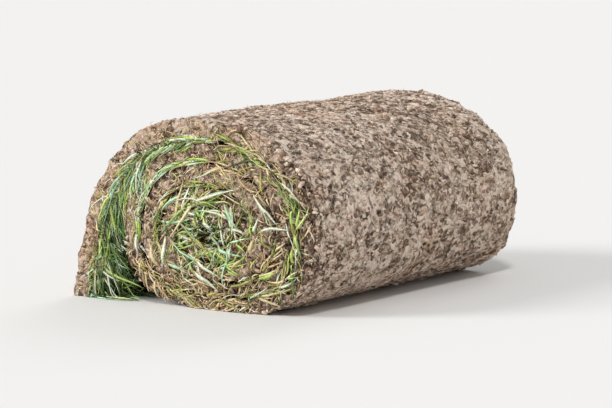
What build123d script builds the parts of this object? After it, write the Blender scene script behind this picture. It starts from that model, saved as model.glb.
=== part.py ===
"""A roll of lawn turf, lying on its side.

One strip of turf, cut 400 mm wide and about 2 m long, is rolled up with its grass inside and its
soil outside, and is a single solid here. The roll has sagged under its own weight: it is wider
than it is high, its lower laps are squeezed thinner than its upper ones, and it bears on a flat
along its underside. The last part of the strip has come loose: it lifts off the coil over the
left shoulder and hangs down to the floor, with a wedge of open space behind it.

Frame: X runs across the roll, Y along its axis and Z up. The origin lies on the floor, under the
eye of the coil and midway between the two ends. The strip winds outwards anticlockwise, as seen
from the end that faces -Y.
"""

import os
from math import cos, hypot, pi, radians, sin

from build123d import *

# The strip, as it was cut. The roll is as long as the strip is wide.
STRIP_WIDTH = 400.0
LAP_THICKNESS = 20.0  # soil and root mat at the foot of the loose lap, which nothing squeezes

# How far the soil face moves out with each turn, and the grass that is pressed between two laps.
RIGHT_PITCH = 26.5
LEFT_PITCH = 23.8
TOP_PITCH = 22.4
BASE_PITCH = 17.2
GRASS_GAP = 4.5
TURNS = 5.2

# The oval about which the strip winds, and the part of the first turn that the eye takes up
# before the strip's inner end.
EYE_HALF_WIDTH = 8.0
EYE_HALF_HEIGHT = 3.5
INNER_END_TURN = 0.72

# How square the sagged outline is, where 2 would be an ellipse.
TOP_SQUARENESS = 2.15
BASE_SQUARENESS = 2.6
SETTLING = 2.0  # height by which the underside is pressed flat on the floor

# The loose lap, with angles measured from +X towards +Z. It starts to lift off the coil at the
# first angle, daylight shows behind it from the second one on, and it hangs free from the third.
LIFTING_ANGLE = 85.0
SEAM_ANGLE = 118.0
HANGING_ANGLE = 158.0
LAP_LIFT = 11.0  # how far it stands off the coil where it starts to hang free
LAP_SPREAD = 42.0  # how much further out its foot stands than that place
LAP_LEAN = 13.0  # slope of its foot, in degrees from upright

# The gap between the laps, seen on both ends of the roll.
GAP_DEPTH = 16.0

# How finely the formula of the coil is followed. Each span is two arcs that meet smoothly.
SPANS_PER_TURN = 8

SEAM_TURN = TURNS - 1 - (HANGING_ANGLE - SEAM_ANGLE) / 360


def coil_angle(turn):
    """Angle of the soil face after so many turns from the eye, in radians."""
    return radians(HANGING_ANGLE) + 2 * pi * (turn - TURNS)


def oval_radius(turn, angle):
    """Distance from the middle of the eye to the tightly wound soil face, at an angle."""
    side_pitch = RIGHT_PITCH if cos(angle) > 0 else LEFT_PITCH
    height_pitch = TOP_PITCH if sin(angle) > 0 else BASE_PITCH
    power = TOP_SQUARENESS if sin(angle) > 0 else BASE_SQUARENESS
    across = abs(cos(angle)) / (EYE_HALF_WIDTH + side_pitch * turn)
    upright = abs(sin(angle)) / (EYE_HALF_HEIGHT + height_pitch * turn)
    return (across**power + upright**power) ** (-1 / power)


def lap_lift(turn):
    """How far the strip has lifted off the coil after so many turns."""
    first = TURNS - (HANGING_ANGLE - LIFTING_ANGLE) / 360
    share = min(max((turn - first) / (TURNS - first), 0), 1)
    return LAP_LIFT * share**2


def eye_height():
    """Height of the middle of the eye over the floor, from the lowest point of the coil."""
    turn = TURNS - (HANGING_ANGLE + 90) / 360
    return oval_radius(turn, radians(-90)) - SETTLING


def point_at(angle, reach):
    """Point across the roll, at an angle and a distance from the middle of the eye."""
    return Vector(reach * cos(angle), reach * sin(angle) + eye_height())


def soil_point(turn):
    """Point on the soil side of the strip, which faces outwards."""
    angle = coil_angle(turn)
    return point_at(angle, oval_radius(turn, angle) + lap_lift(turn))


def grass_point(turn):
    """Point on the grass side of the strip, a pressed gap away from the soil one turn before."""
    angle = coil_angle(turn)
    return point_at(angle, oval_radius(turn - 1, angle) + GRASS_GAP + lap_lift(turn))


def eye_point(turn):
    """Point on the grass side of the strip in its first turn, where it lies round the eye."""
    angle = coil_angle(turn)
    return point_at(angle, oval_radius(0, angle) + GRASS_GAP)


def direction_at(point_on, turn):
    """Direction in which a face of the strip runs after so many turns."""
    step = 0.001
    return (point_on(turn + step) - point_on(turn - step)).normalized()


def two_arcs(start, start_direction, end, end_direction):
    """Two arcs that join smoothly, and run through both points in the given directions."""
    chord = end - start
    bend = 2 * (1 - start_direction.dot(end_direction))
    along = chord.dot(start_direction + end_direction)
    reach = ((along**2 + bend * chord.dot(chord)) ** 0.5 - along) / bend
    middle = (start + end + (start_direction - end_direction) * reach) / 2
    first = TangentArc(start, middle, tangent=start_direction)
    return [first, TangentArc(middle, end, tangent=first % 1)]


def face_arcs(point_on, first, last):
    """Arcs along a face of the strip, from one turn to another."""
    count = max(1, round((last - first) * SPANS_PER_TURN))
    turns = [first + (last - first) * i / count for i in range(count + 1)]
    arcs = []
    for turn, next_turn in zip(turns, turns[1:]):
        arcs += two_arcs(
            point_on(turn),
            direction_at(point_on, turn),
            point_on(next_turn),
            direction_at(point_on, next_turn),
        )
    return arcs


def hanging_arcs(point_on, foot):
    """One face of the loose lap, from where it hangs free down to its foot on the floor."""
    lean = radians(LAP_LEAN)
    down = Vector(-sin(lean), -cos(lean))
    return two_arcs(point_on(TURNS), direction_at(point_on, TURNS), foot, down)


def roll_outline():
    """Outline of the coil with its loose lap, as a face across the roll."""
    hanging = soil_point(TURNS)
    toe = Vector(hanging.X - LAP_SPREAD, 0)
    heel = toe + Vector(LAP_THICKNESS / cos(radians(LAP_LEAN)), 0)
    outside = face_arcs(soil_point, SEAM_TURN, TURNS) + hanging_arcs(soil_point, toe)
    inside = face_arcs(grass_point, SEAM_TURN + 1, TURNS) + hanging_arcs(grass_point, heel)
    seam = Line(grass_point(SEAM_TURN + 1), soil_point(SEAM_TURN))
    return make_face(Curve() + [*outside, Line(toe, heel), *inside, seam])


def gap_outline():
    """The spiral gap between the laps, from the eye to the seam behind the loose lap."""
    first = INNER_END_TURN
    inner_wall = face_arcs(soil_point, first, SEAM_TURN)
    outer_wall = face_arcs(grass_point, first + 1, SEAM_TURN + 1)
    blunt_end = Line(grass_point(first + 1), soil_point(first))
    seam = Line(soil_point(SEAM_TURN), grass_point(SEAM_TURN + 1))
    return make_face(Curve() + [*inner_wall, seam, *outer_wall, blunt_end])


def eye_outline():
    """The eye: a hollow that widens on its way round to the blunt inner end of the strip."""
    first = INNER_END_TURN
    wall = face_arcs(grass_point, 1, first + 1) + face_arcs(eye_point, first, 1)
    blunt_end = Line(grass_point(first + 1), eye_point(first))
    return make_face(Curve() + [*wall, blunt_end])


def along_the_roll(outline, start, length):
    """Solid of an outline across the roll, from a place along Y in the direction of +Y."""
    return extrude(Plane.XZ.offset(-start) * outline, -length)


def turf_roll():
    """The whole roll as one solid, with its turns cut into both ends."""
    half = STRIP_WIDTH / 2
    roll = along_the_roll(roll_outline(), -half, STRIP_WIDTH)
    roll -= along_the_roll(eye_outline(), -half, STRIP_WIDTH)
    roll -= along_the_roll(gap_outline(), -half, GAP_DEPTH)
    roll -= along_the_roll(gap_outline(), half - GAP_DEPTH, GAP_DEPTH)
    return split(roll, Plane.XY, keep=Keep.TOP)


def strip_length():
    """Length of the strip along the middle of its thickness."""
    count = 120
    turns = [INNER_END_TURN + (TURNS - INNER_END_TURN) * i / count for i in range(count + 1)]
    inner = [eye_point(turn) if turn < 1 else grass_point(turn) for turn in turns]
    middles = [(soil_point(turn) + face) / 2 for turn, face in zip(turns, inner)]
    coiled = sum((after - before).length for before, after in zip(middles, middles[1:]))
    return coiled + hypot(soil_point(TURNS).Y, LAP_SPREAD)


os.makedirs("parts", exist_ok=True)
roll = turf_roll()
export_step(roll, "parts/turf_roll.step")
box = roll.bounding_box()
print(f"roll {box.size.X:.1f} x {box.size.Y:.1f} x {box.size.Z:.1f} mm, X from {box.min.X:.1f}")
print(f"strip about {strip_length():.0f} mm long, eye at {eye_height():.1f} mm")
print(f"{roll.volume / 1e6:.2f} litres, {len(roll.solids())} solid")
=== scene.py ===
"""Dresses the roll of lawn turf for rendering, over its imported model.

The strip is built as it was cut, as a flat slab of soil and roots with torn edges, and is then
rolled up along the same spiral as the solid. Grass, dead straw and root hairs are scattered over
it afterwards, each kind as one joined mesh that follows the faces of the strip.

Everything is in metres: X across the roll, Y along its axis and Z up. A place on the strip is
given by how far it lies along the strip from the inner end, by its Y, and by its height over the
grass face of the strip.
"""

import logging
from dataclasses import dataclass, replace
from enum import Enum
from math import cos, pi, radians, sin
from typing import Callable

import bmesh
import bpy
import numpy as np
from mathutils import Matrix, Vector, noise
from mathutils.bvhtree import BVHTree


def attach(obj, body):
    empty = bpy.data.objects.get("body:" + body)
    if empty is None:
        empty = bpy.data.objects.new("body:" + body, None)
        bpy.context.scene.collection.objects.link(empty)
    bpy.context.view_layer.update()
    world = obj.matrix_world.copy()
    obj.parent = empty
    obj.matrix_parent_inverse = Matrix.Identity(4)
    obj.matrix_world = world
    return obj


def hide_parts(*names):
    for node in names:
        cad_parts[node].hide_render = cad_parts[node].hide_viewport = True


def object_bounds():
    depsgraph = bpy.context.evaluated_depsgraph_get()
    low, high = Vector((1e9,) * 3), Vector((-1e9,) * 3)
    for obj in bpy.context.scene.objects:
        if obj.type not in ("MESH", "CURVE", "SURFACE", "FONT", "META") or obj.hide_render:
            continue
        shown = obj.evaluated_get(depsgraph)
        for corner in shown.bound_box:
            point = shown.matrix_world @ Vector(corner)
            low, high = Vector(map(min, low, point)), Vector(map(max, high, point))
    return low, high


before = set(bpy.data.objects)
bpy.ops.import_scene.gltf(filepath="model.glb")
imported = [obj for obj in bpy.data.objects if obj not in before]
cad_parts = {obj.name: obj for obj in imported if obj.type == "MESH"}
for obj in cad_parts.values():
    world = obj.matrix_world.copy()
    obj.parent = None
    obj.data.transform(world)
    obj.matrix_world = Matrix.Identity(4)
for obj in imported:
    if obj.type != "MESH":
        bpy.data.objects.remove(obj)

NODE = "turf_roll"
BODY = "root"
CAD_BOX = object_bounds()
MM = 0.001

log = logging.getLogger("turf")


class End(Enum):
    """The two ends of the roll, by the sign of their Y."""

    NEAR = -1.0
    FAR = 1.0


class Part(Enum):
    """The four sides of the strip's section."""

    SOIL = 0
    FAR_CUT = 1
    GRASS = 2
    NEAR_CUT = 3


def unit(vectors: np.ndarray) -> np.ndarray:
    """Vectors of the same directions, each one unit long."""
    return vectors / np.maximum(np.linalg.norm(vectors, axis=-1, keepdims=True), 1e-9)


def rows(x: np.ndarray | float, y: np.ndarray | float, z: np.ndarray | float) -> np.ndarray:
    """Rows of X, Y and Z, of which one or two may be the same number all the way."""
    return np.stack(np.broadcast_arrays(x, y, z), 1)


def smooth_step(value: np.ndarray, low: float, high: float) -> np.ndarray:
    """Rises smoothly from 0 at low to 1 at high, or falls where high is the lesser."""
    share = np.clip((value - low) / (high - low), 0.0, 1.0)
    return share * share * (3.0 - 2.0 * share)


def unevenness(places: np.ndarray, wavelength: float, seed: float) -> np.ndarray:
    """Smooth random values over some places.

    Args:
        places: Rows of X, Y, Z in metres.
        wavelength: Size of the lumps in metres.
        seed: Sets one pattern apart from another.

    Returns:
        One value for each place, about -0.7 to 0.7.
    """
    scaled = places / wavelength + seed * 17.31
    return np.array([noise.noise(place) for place in scaled.tolist()])


@dataclass(frozen=True)
class Coil:
    """The spiral that the strip follows, with the sizes of the solid."""

    width: float = 0.400
    lap_thickness: float = 0.020
    right_pitch: float = 0.0265
    left_pitch: float = 0.0238
    top_pitch: float = 0.0224
    base_pitch: float = 0.0172
    grass_gap: float = 0.0045
    turns: float = 5.2
    eye_half_width: float = 0.008
    eye_half_height: float = 0.0035
    inner_end_turn: float = 0.72
    top_squareness: float = 2.15
    base_squareness: float = 2.6
    settling: float = 0.002
    lifting_angle: float = 85.0
    seam_angle: float = 118.0
    hanging_angle: float = 158.0
    lap_lift: float = 0.011
    lap_spread: float = 0.042
    lap_lean: float = 13.0
    gap_depth: float = 0.016

    @property
    def half_width(self) -> float:
        """Half the width of the strip, which is half the length of the roll."""
        return self.width / 2

    @property
    def seam_turn(self) -> float:
        """Turn at which the loose lap starts to stand open, on the coil's own soil face."""
        return self.turns - 1 - (self.hanging_angle - self.seam_angle) / 360

    @property
    def eye_height(self) -> float:
        """Height of the middle of the eye over the floor."""
        lowest = np.array([self.turns - (self.hanging_angle + 90) / 360])
        return float(self.radius(lowest, np.array([-pi / 2]))[0]) - self.settling

    def angle(self, turn: np.ndarray) -> np.ndarray:
        """Angle of the strip after so many turns, in radians from +X towards +Z."""
        return radians(self.hanging_angle) + 2 * pi * (turn - self.turns)

    def radius(self, turn: np.ndarray, angle: np.ndarray) -> np.ndarray:
        """Distance from the middle of the eye to the tightly wound soil face.

        Args:
            turn: How many turns the strip has made.
            angle: The direction from the middle of the eye, in radians.

        Returns:
            The distance, for each turn and angle.
        """
        side = np.where(np.cos(angle) > 0, self.right_pitch, self.left_pitch)
        height = np.where(np.sin(angle) > 0, self.top_pitch, self.base_pitch)
        power = np.where(np.sin(angle) > 0, self.top_squareness, self.base_squareness)
        across = np.abs(np.cos(angle)) / (self.eye_half_width + side * turn)
        upright = np.abs(np.sin(angle)) / (self.eye_half_height + height * turn)
        return (across**power + upright**power) ** (-1 / power)

    def lift(self, turn: np.ndarray) -> np.ndarray:
        """How far the strip has lifted off the coil after so many turns."""
        first = self.turns - (self.hanging_angle - self.lifting_angle) / 360
        return self.lap_lift * np.clip((turn - first) / (self.turns - first), 0, 1) ** 2

    def at(self, angle: np.ndarray, reach: np.ndarray) -> np.ndarray:
        """Rows of X and Z at an angle and a distance from the middle of the eye."""
        return np.stack([reach * np.cos(angle), reach * np.sin(angle) + self.eye_height], 1)

    def soil(self, turn: np.ndarray) -> np.ndarray:
        """Rows of X and Z on the soil face of the strip."""
        angle = self.angle(turn)
        return self.at(angle, self.radius(turn, angle) + self.lift(turn))

    def grass(self, turn: np.ndarray) -> np.ndarray:
        """Rows of X and Z on the grass face of the strip.

        Args:
            turn: How many turns the strip has made.

        Returns:
            One row for each turn.
        """
        angle = self.angle(turn)
        inner = self.radius(np.maximum(turn - 1, 0), angle)
        return self.at(angle, inner + self.grass_gap + self.lift(turn))


class RolledStrip:
    """Both faces of the rolled strip, by the distance along it from its inner end."""

    SAMPLES_PER_TURN = 320
    SAMPLES_DOWN_THE_LAP = 90
    STEP = 1.5 * MM

    def __init__(self, coil: Coil) -> None:
        """Works out the faces round the coil and down the loose lap.

        Args:
            coil: The spiral that the strip follows.
        """
        self.coil = coil
        count = int((coil.turns - coil.inner_end_turn) * self.SAMPLES_PER_TURN)
        turns = np.linspace(coil.inner_end_turn, coil.turns, count)
        soil, grass = coil.soil(turns), coil.grass(turns)
        toe = np.array([soil[-1, 0] - coil.lap_spread, 0.0])
        heel = toe + [coil.lap_thickness / cos(radians(coil.lap_lean)), 0.0]
        self.turn = np.concatenate([turns, coil.turns + self._shares()])
        self.soil = np.vstack([soil, self._hanging(soil, toe)])
        self.grass = np.vstack([grass, self._hanging(grass, heel)])
        middle = (self.soil + self.grass) / 2
        steps = np.linalg.norm(np.diff(middle, axis=0), axis=1)
        self.distance = np.concatenate([[0.0], np.cumsum(steps)])
        self.length = float(self.distance[-1])

    def _shares(self) -> np.ndarray:
        """Shares of the way down the loose lap."""
        return np.linspace(0, 1, self.SAMPLES_DOWN_THE_LAP)[1:]

    def _hanging(self, face: np.ndarray, foot: np.ndarray) -> np.ndarray:
        """One face of the loose lap, from where it hangs free down to its foot.

        Args:
            face: Rows of X and Z on that face, up to where it hangs.
            foot: Where it meets the floor.

        Returns:
            The rows that follow, down to the foot.
        """
        lean = radians(self.coil.lap_lean)
        reach = np.linalg.norm(foot - face[-1])
        start = unit(face[-1] - face[-2]) * reach
        end = np.array([-sin(lean), -cos(lean)]) * reach
        t = self._shares()[:, None]
        return (
            (2 * t**3 - 3 * t**2 + 1) * face[-1]
            + (t**3 - 2 * t**2 + t) * start
            + (3 * t**2 - 2 * t**3) * foot
            + (t**3 - t**2) * end
        )

    def distance_at(self, turn: float) -> float:
        """Distance along the strip at a turn. The loose lap is the turn after the last one."""
        return float(np.interp(turn, self.turn, self.distance))

    def turn_at(self, along: np.ndarray) -> np.ndarray:
        """Turn at a distance along the strip."""
        return np.interp(along, self.distance, self.turn)

    def _read(self, face: np.ndarray, along: np.ndarray) -> np.ndarray:
        """Rows of X and Z on a face at some distances along the strip."""
        return np.stack([np.interp(along, self.distance, face[:, i]) for i in (0, 1)], 1)

    def thickness(self, along: np.ndarray) -> np.ndarray:
        """Thickness of the strip at some distances along it."""
        gap = self._read(self.soil, along) - self._read(self.grass, along)
        return np.linalg.norm(gap, axis=1)

    def place(self, along: np.ndarray, y: np.ndarray | float,
              height: np.ndarray) -> np.ndarray:
        """Puts places on the flat strip where they are once it is rolled up.

        Args:
            along: Distance from the inner end.
            y: Distance from the middle of the strip's width.
            height: Height over the grass face, towards the soil side.

        Returns:
            Rows of X, Y and Z.
        """
        soil, grass = self._read(self.soil, along), self._read(self.grass, along)
        flat = grass + unit(soil - grass) * height[:, None]
        return rows(flat[:, 0], y, flat[:, 1])

    def outward(self, along: np.ndarray) -> np.ndarray:
        """Directions from the grass face to the soil face."""
        flat = unit(self._read(self.soil, along) - self._read(self.grass, along))
        return rows(flat[:, 0], 0.0, flat[:, 1])

    def onward(self, along: np.ndarray) -> np.ndarray:
        """Directions along the strip, away from its inner end.

        Args:
            along: Distances from the inner end.

        Returns:
            Rows of X, Y and Z, each one unit long.
        """
        middle = (self.soil + self.grass) / 2
        ahead = self._read(middle, along + self.STEP) - self._read(middle, along - self.STEP)
        flat = unit(ahead)
        return rows(flat[:, 0], 0.0, flat[:, 1])


@dataclass(frozen=True)
class Relief:
    """How uneven the strip is. Each pair is a wavelength and a height in metres."""

    long_swell: tuple[float, float] = (0.190, 0.0040)
    soil_swell: tuple[float, float] = (0.085, 0.0022)
    soil_lumps: tuple[float, float] = (0.022, 0.0014)
    soil_crumbs: tuple[float, float] = (0.0085, 0.0014)
    pits: tuple[float, float] = (0.013, 0.0040)
    pit_level: float = 0.16
    shift: tuple[float, float] = (0.21, 0.0060)
    cut_lumps: tuple[float, float] = (0.015, 0.0032)
    cut_crumbs: tuple[float, float] = (0.0055, 0.0021)
    covered: float = 0.3
    torn: float = 0.0016
    torn_notches: tuple[tuple[float, float], ...] = ((0.017, 0.0050), (0.006, 0.0026))
    corner_wavelength: float = 0.012
    least_round: float = 0.0018
    most_round: float = 0.0075

    SOIL_SEED, PIT_SEED, CUT_SEED, CORNER_SEED, TEAR_SEED = 1.0, 9.0, 20.0, 31.0, 51.0

    def soil(self, along: np.ndarray, y: np.ndarray) -> np.ndarray:
        """How far the soil face stands out at some places on the flat strip.

        Args:
            along: Distances from the inner end.
            y: Distances from the middle of the strip's width.

        Returns:
            The distance for each place, in metres.
        """
        flat = rows(along, y, 0.0)
        total = np.zeros(len(y))
        for seed, (wavelength, height) in enumerate(
            (self.soil_swell, self.soil_lumps, self.soil_crumbs, self.long_swell)
        ):
            total += height * unevenness(flat, wavelength, self.SOIL_SEED + seed)
        wavelength, depth = self.pits
        hollow = unevenness(flat, wavelength, self.PIT_SEED) - self.pit_level
        return total - depth * np.maximum(hollow, 0.0)

    def cut(self, along: np.ndarray, height: np.ndarray, end: End) -> np.ndarray:
        """How far a cut end of the strip stands out along the roll's axis.

        Args:
            along: Distance from the inner end.
            height: Height over the grass face.
            end: Which end of the roll the cut is on.

        Returns:
            The distance for each place, in metres.
        """
        seed = self.CUT_SEED + 5.0 * end.value
        face = rows(along, height, 0.0)
        total = self.shift[1] * unevenness(rows(along, 0.0, 0.0), self.shift[0], seed)
        for wavelength, size in (self.cut_lumps, self.cut_crumbs):
            seed += 1.0
            total += size * unevenness(face, wavelength, seed)
        return total

    def tear(self, y: np.ndarray) -> np.ndarray:
        """How much is torn off the outer end of the strip, over its width.

        Args:
            y: Distances from the middle of the strip's width.

        Returns:
            The length that is missing, in metres.
        """
        total = np.full(len(y), self.torn)
        for seed, (wavelength, size) in enumerate(self.torn_notches):
            total += size * unevenness(rows(y, 0.0, 0.0), wavelength, self.TEAR_SEED + seed)
        return np.maximum(total, 0.0)

    def roundness(self, along: np.ndarray, y: np.ndarray) -> np.ndarray:
        """Radius to which the corner between the soil face and a cut end has crumbled.

        Args:
            along: Distances from the inner end.
            y: Distances from the middle of the strip's width.

        Returns:
            The radius for each place.
        """
        flat = rows(along, np.sign(y), 0.0)
        share = np.clip(
            0.5 + unevenness(flat, self.corner_wavelength, self.CORNER_SEED), 0.0, 1.0)
        return self.least_round + (self.most_round - self.least_round) * share**2


Colour = tuple[float, float, float]
Sockets = dict[str, bpy.types.NodeSocket]


class Graph:
    """Adds and joins the nodes of one material or node group."""

    def __init__(self, tree: bpy.types.NodeTree) -> None:
        """Works on one node tree."""
        self.tree = tree

    def node(self, kind: str, inputs: dict | None = None, **settings: object) -> bpy.types.Node:
        """Adds a node.

        Args:
            kind: The node's type name, without its ShaderNode prefix.
            inputs: Socket name or number to a value, or to a socket to join it to.
            **settings: The node's own properties.

        Returns:
            The new node.
        """
        made = self.tree.nodes.new("ShaderNode" + kind)
        for name, value in settings.items():
            setattr(made, name, value)
        for name, value in (inputs or {}).items():
            self.put(made.inputs[name], value)
        return made

    def put(self, socket: bpy.types.NodeSocket, value: object) -> None:
        """Sets a socket to a value, or joins it to another socket.

        Args:
            socket: The socket to set.
            value: The value, or a socket.
        """
        if isinstance(value, bpy.types.NodeSocket):
            self.tree.links.new(value, socket)
        else:
            socket.default_value = value

    def math(self, operation: str, *values: object) -> bpy.types.NodeSocket:
        """Adds a Math node and gives its result.

        Args:
            operation: What the node does.
            *values: What it does it to, as values or sockets.

        Returns:
            The result.
        """
        made = self.node("Math", operation=operation)
        for socket, value in zip(made.inputs, values):
            self.put(socket, value)
        return made.outputs[0]

    def remap(self, value: object, low: float, high: float, to_low: float = 0.0,
              to_high: float = 1.0) -> bpy.types.NodeSocket:
        """Maps a range of values to another, and holds it at both ends.

        Args:
            value: What is mapped.
            low: Where its range starts.
            high: Where it ends.
            to_low: What the start becomes.
            to_high: What the end becomes.

        Returns:
            The mapped value.
        """
        inputs = {"Value": value, "From Min": low, "From Max": high,
                  "To Min": to_low, "To Max": to_high}
        return self.node("MapRange", inputs).outputs["Result"]

    def mix(self, share: object, first: object, second: object,
            blend: str = "MIX") -> bpy.types.NodeSocket:
        """Mixes two colours and gives the result.

        Args:
            share: How much of the second colour there is.
            first: The colour below.
            second: The colour on top.
            blend: How it is laid on.

        Returns:
            The mixed colour.
        """
        made = self.node("Mix", {0: share, 6: first, 7: second}, data_type="RGBA",
                         blend_type=blend)
        return made.outputs[2]

    def speckle(self, place: object, scale: float, detail: float = 3.0,
                roughness: float = 0.55, distortion: float = 0.0) -> bpy.types.NodeSocket:
        """Adds a noise texture and gives its value.

        Args:
            place: Where it is read.
            scale: Lumps to the metre.
            detail: How many finer layers it has.
            roughness: How much they count.
            distortion: How far it is warped.

        Returns:
            A value from 0 to 1.
        """
        inputs = {"Vector": place, "Scale": scale, "Detail": detail,
                  "Roughness": roughness, "Distortion": distortion}
        return self.node("TexNoise", inputs).outputs["Fac"]

    def vary(self, place: object, scale: float, spread: float, middle: float = 0.0,
             detail: float = 3.0, roughness: float = 0.55) -> bpy.types.NodeSocket:
        """Adds a noise texture that varies about a middle value, by no more than a spread."""
        value = self.speckle(place, scale, detail, roughness)
        return self.remap(value, 0.3, 0.7, middle - spread, middle + spread)

    def stretch(self, place: object, scale: tuple, turn: tuple) -> bpy.types.NodeSocket:
        """Turns and stretches texture places."""
        inputs = {"Vector": place, "Rotation": turn, "Scale": scale}
        return self.node("Mapping", inputs).outputs["Vector"]


def rgba(colour: Colour) -> tuple[float, float, float, float]:
    """A colour with full alpha."""
    return (*colour, 1.0)


class SharedEffect:
    """A shader node group that is built once, for any material that uses it."""

    NAME = ""
    INPUTS: dict[str, str] = {"Vector": "Vector"}
    OUTPUTS: dict[str, str] = {}

    def results(self, graph: Graph, given: bpy.types.NodeOutputs) -> Sockets:
        """Makes the nodes inside the group.

        Args:
            graph: Adds nodes to the group.
            given: The group's inputs, by name.

        Returns:
            What each output puts out.
        """
        raise NotImplementedError

    def group(self) -> bpy.types.NodeTree:
        """Gives the group, which is built only once.

        Returns:
            The node group.
        """
        if self.NAME in bpy.data.node_groups:
            return bpy.data.node_groups[self.NAME]
        tree = bpy.data.node_groups.new(self.NAME, "ShaderNodeTree")
        for side, sockets in (("INPUT", self.INPUTS), ("OUTPUT", self.OUTPUTS)):
            for name, kind in sockets.items():
                tree.interface.new_socket(name, in_out=side, socket_type="NodeSocket" + kind)
        graph = Graph(tree)
        results = self.results(graph, tree.nodes.new("NodeGroupInput").outputs)
        out = tree.nodes.new("NodeGroupOutput")
        for name, value in results.items():
            graph.put(out.inputs[name], value)
        return tree

    def placed(self, graph: Graph, inputs: dict) -> bpy.types.NodeOutputs:
        """Places the group in a material and gives its outputs."""
        return graph.node("Group", inputs, node_tree=self.group()).outputs


class MattedFelt(SharedEffect):
    """A mat of fine roots: thin crossing hairs, small pits and a height."""

    NAME = "matted_felt"
    OUTPUTS = {"Hairs": "Float", "Pits": "Float", "Height": "Float"}
    HAIR_CORE, HAIR_WIDTH = 0.004, 0.022
    HAIR_SCALES = ((150.0, (1.0, 0.28, 1.0), (0.3, 0.2, 0.5)),
                   (210.0, (0.35, 1.0, 1.0), (0.1, 0.7, 1.9)),
                   (120.0, (1.0, 1.0, 0.3), (0.9, 0.4, 0.2)))
    PIT_SCALE, PIT_EDGE = 118.0, (0.42, 0.12)
    GROUP_SCALE, GROUP_EDGE = 75.0, (0.5, 0.62)
    GRAIN_SCALE = 330.0
    HAIR_HEIGHT, PIT_DEPTH = 0.35, 0.9

    def results(self, graph: Graph, given: bpy.types.NodeOutputs) -> Sockets:
        """Makes the hairs, the pits and the height of both.

        Args:
            graph: Adds nodes to the group.
            given: The group's inputs, by name.

        Returns:
            What each output puts out.
        """
        place = given["Vector"]
        hairs = self._hairs(graph, place)
        cells = graph.node("TexVoronoi", {"Vector": place, "Scale": self.PIT_SCALE})
        groups = graph.remap(graph.speckle(place, self.GROUP_SCALE), *self.GROUP_EDGE)
        pits = graph.remap(cells.outputs["Distance"], *self.PIT_EDGE)
        pits = graph.math("MULTIPLY", pits, groups)
        grain = graph.speckle(place, self.GRAIN_SCALE, 5.0, 0.7)
        height = graph.math("MULTIPLY_ADD", hairs, self.HAIR_HEIGHT, grain)
        height = graph.math("SUBTRACT", height, graph.math("MULTIPLY", pits, self.PIT_DEPTH))
        return {"Hairs": hairs, "Pits": pits, "Height": height}

    def _hairs(self, graph: Graph, place: object) -> bpy.types.NodeSocket:
        """Thin curved lines, where stretched noises cross their middle value.

        Args:
            graph: Adds nodes to the group.
            place: Where the textures are read.

        Returns:
            A mask that is 1 on a hair.
        """
        lines = None
        for scale, stretch, turn in self.HAIR_SCALES:
            value = graph.speckle(graph.stretch(place, stretch, turn), scale, 1.5, 0.5, 0.6)
            away = graph.math("ABSOLUTE", graph.math("SUBTRACT", value, 0.5))
            line = graph.remap(away, self.HAIR_WIDTH, self.HAIR_CORE)
            lines = line if lines is None else graph.math("MAXIMUM", lines, line)
        return lines


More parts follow.
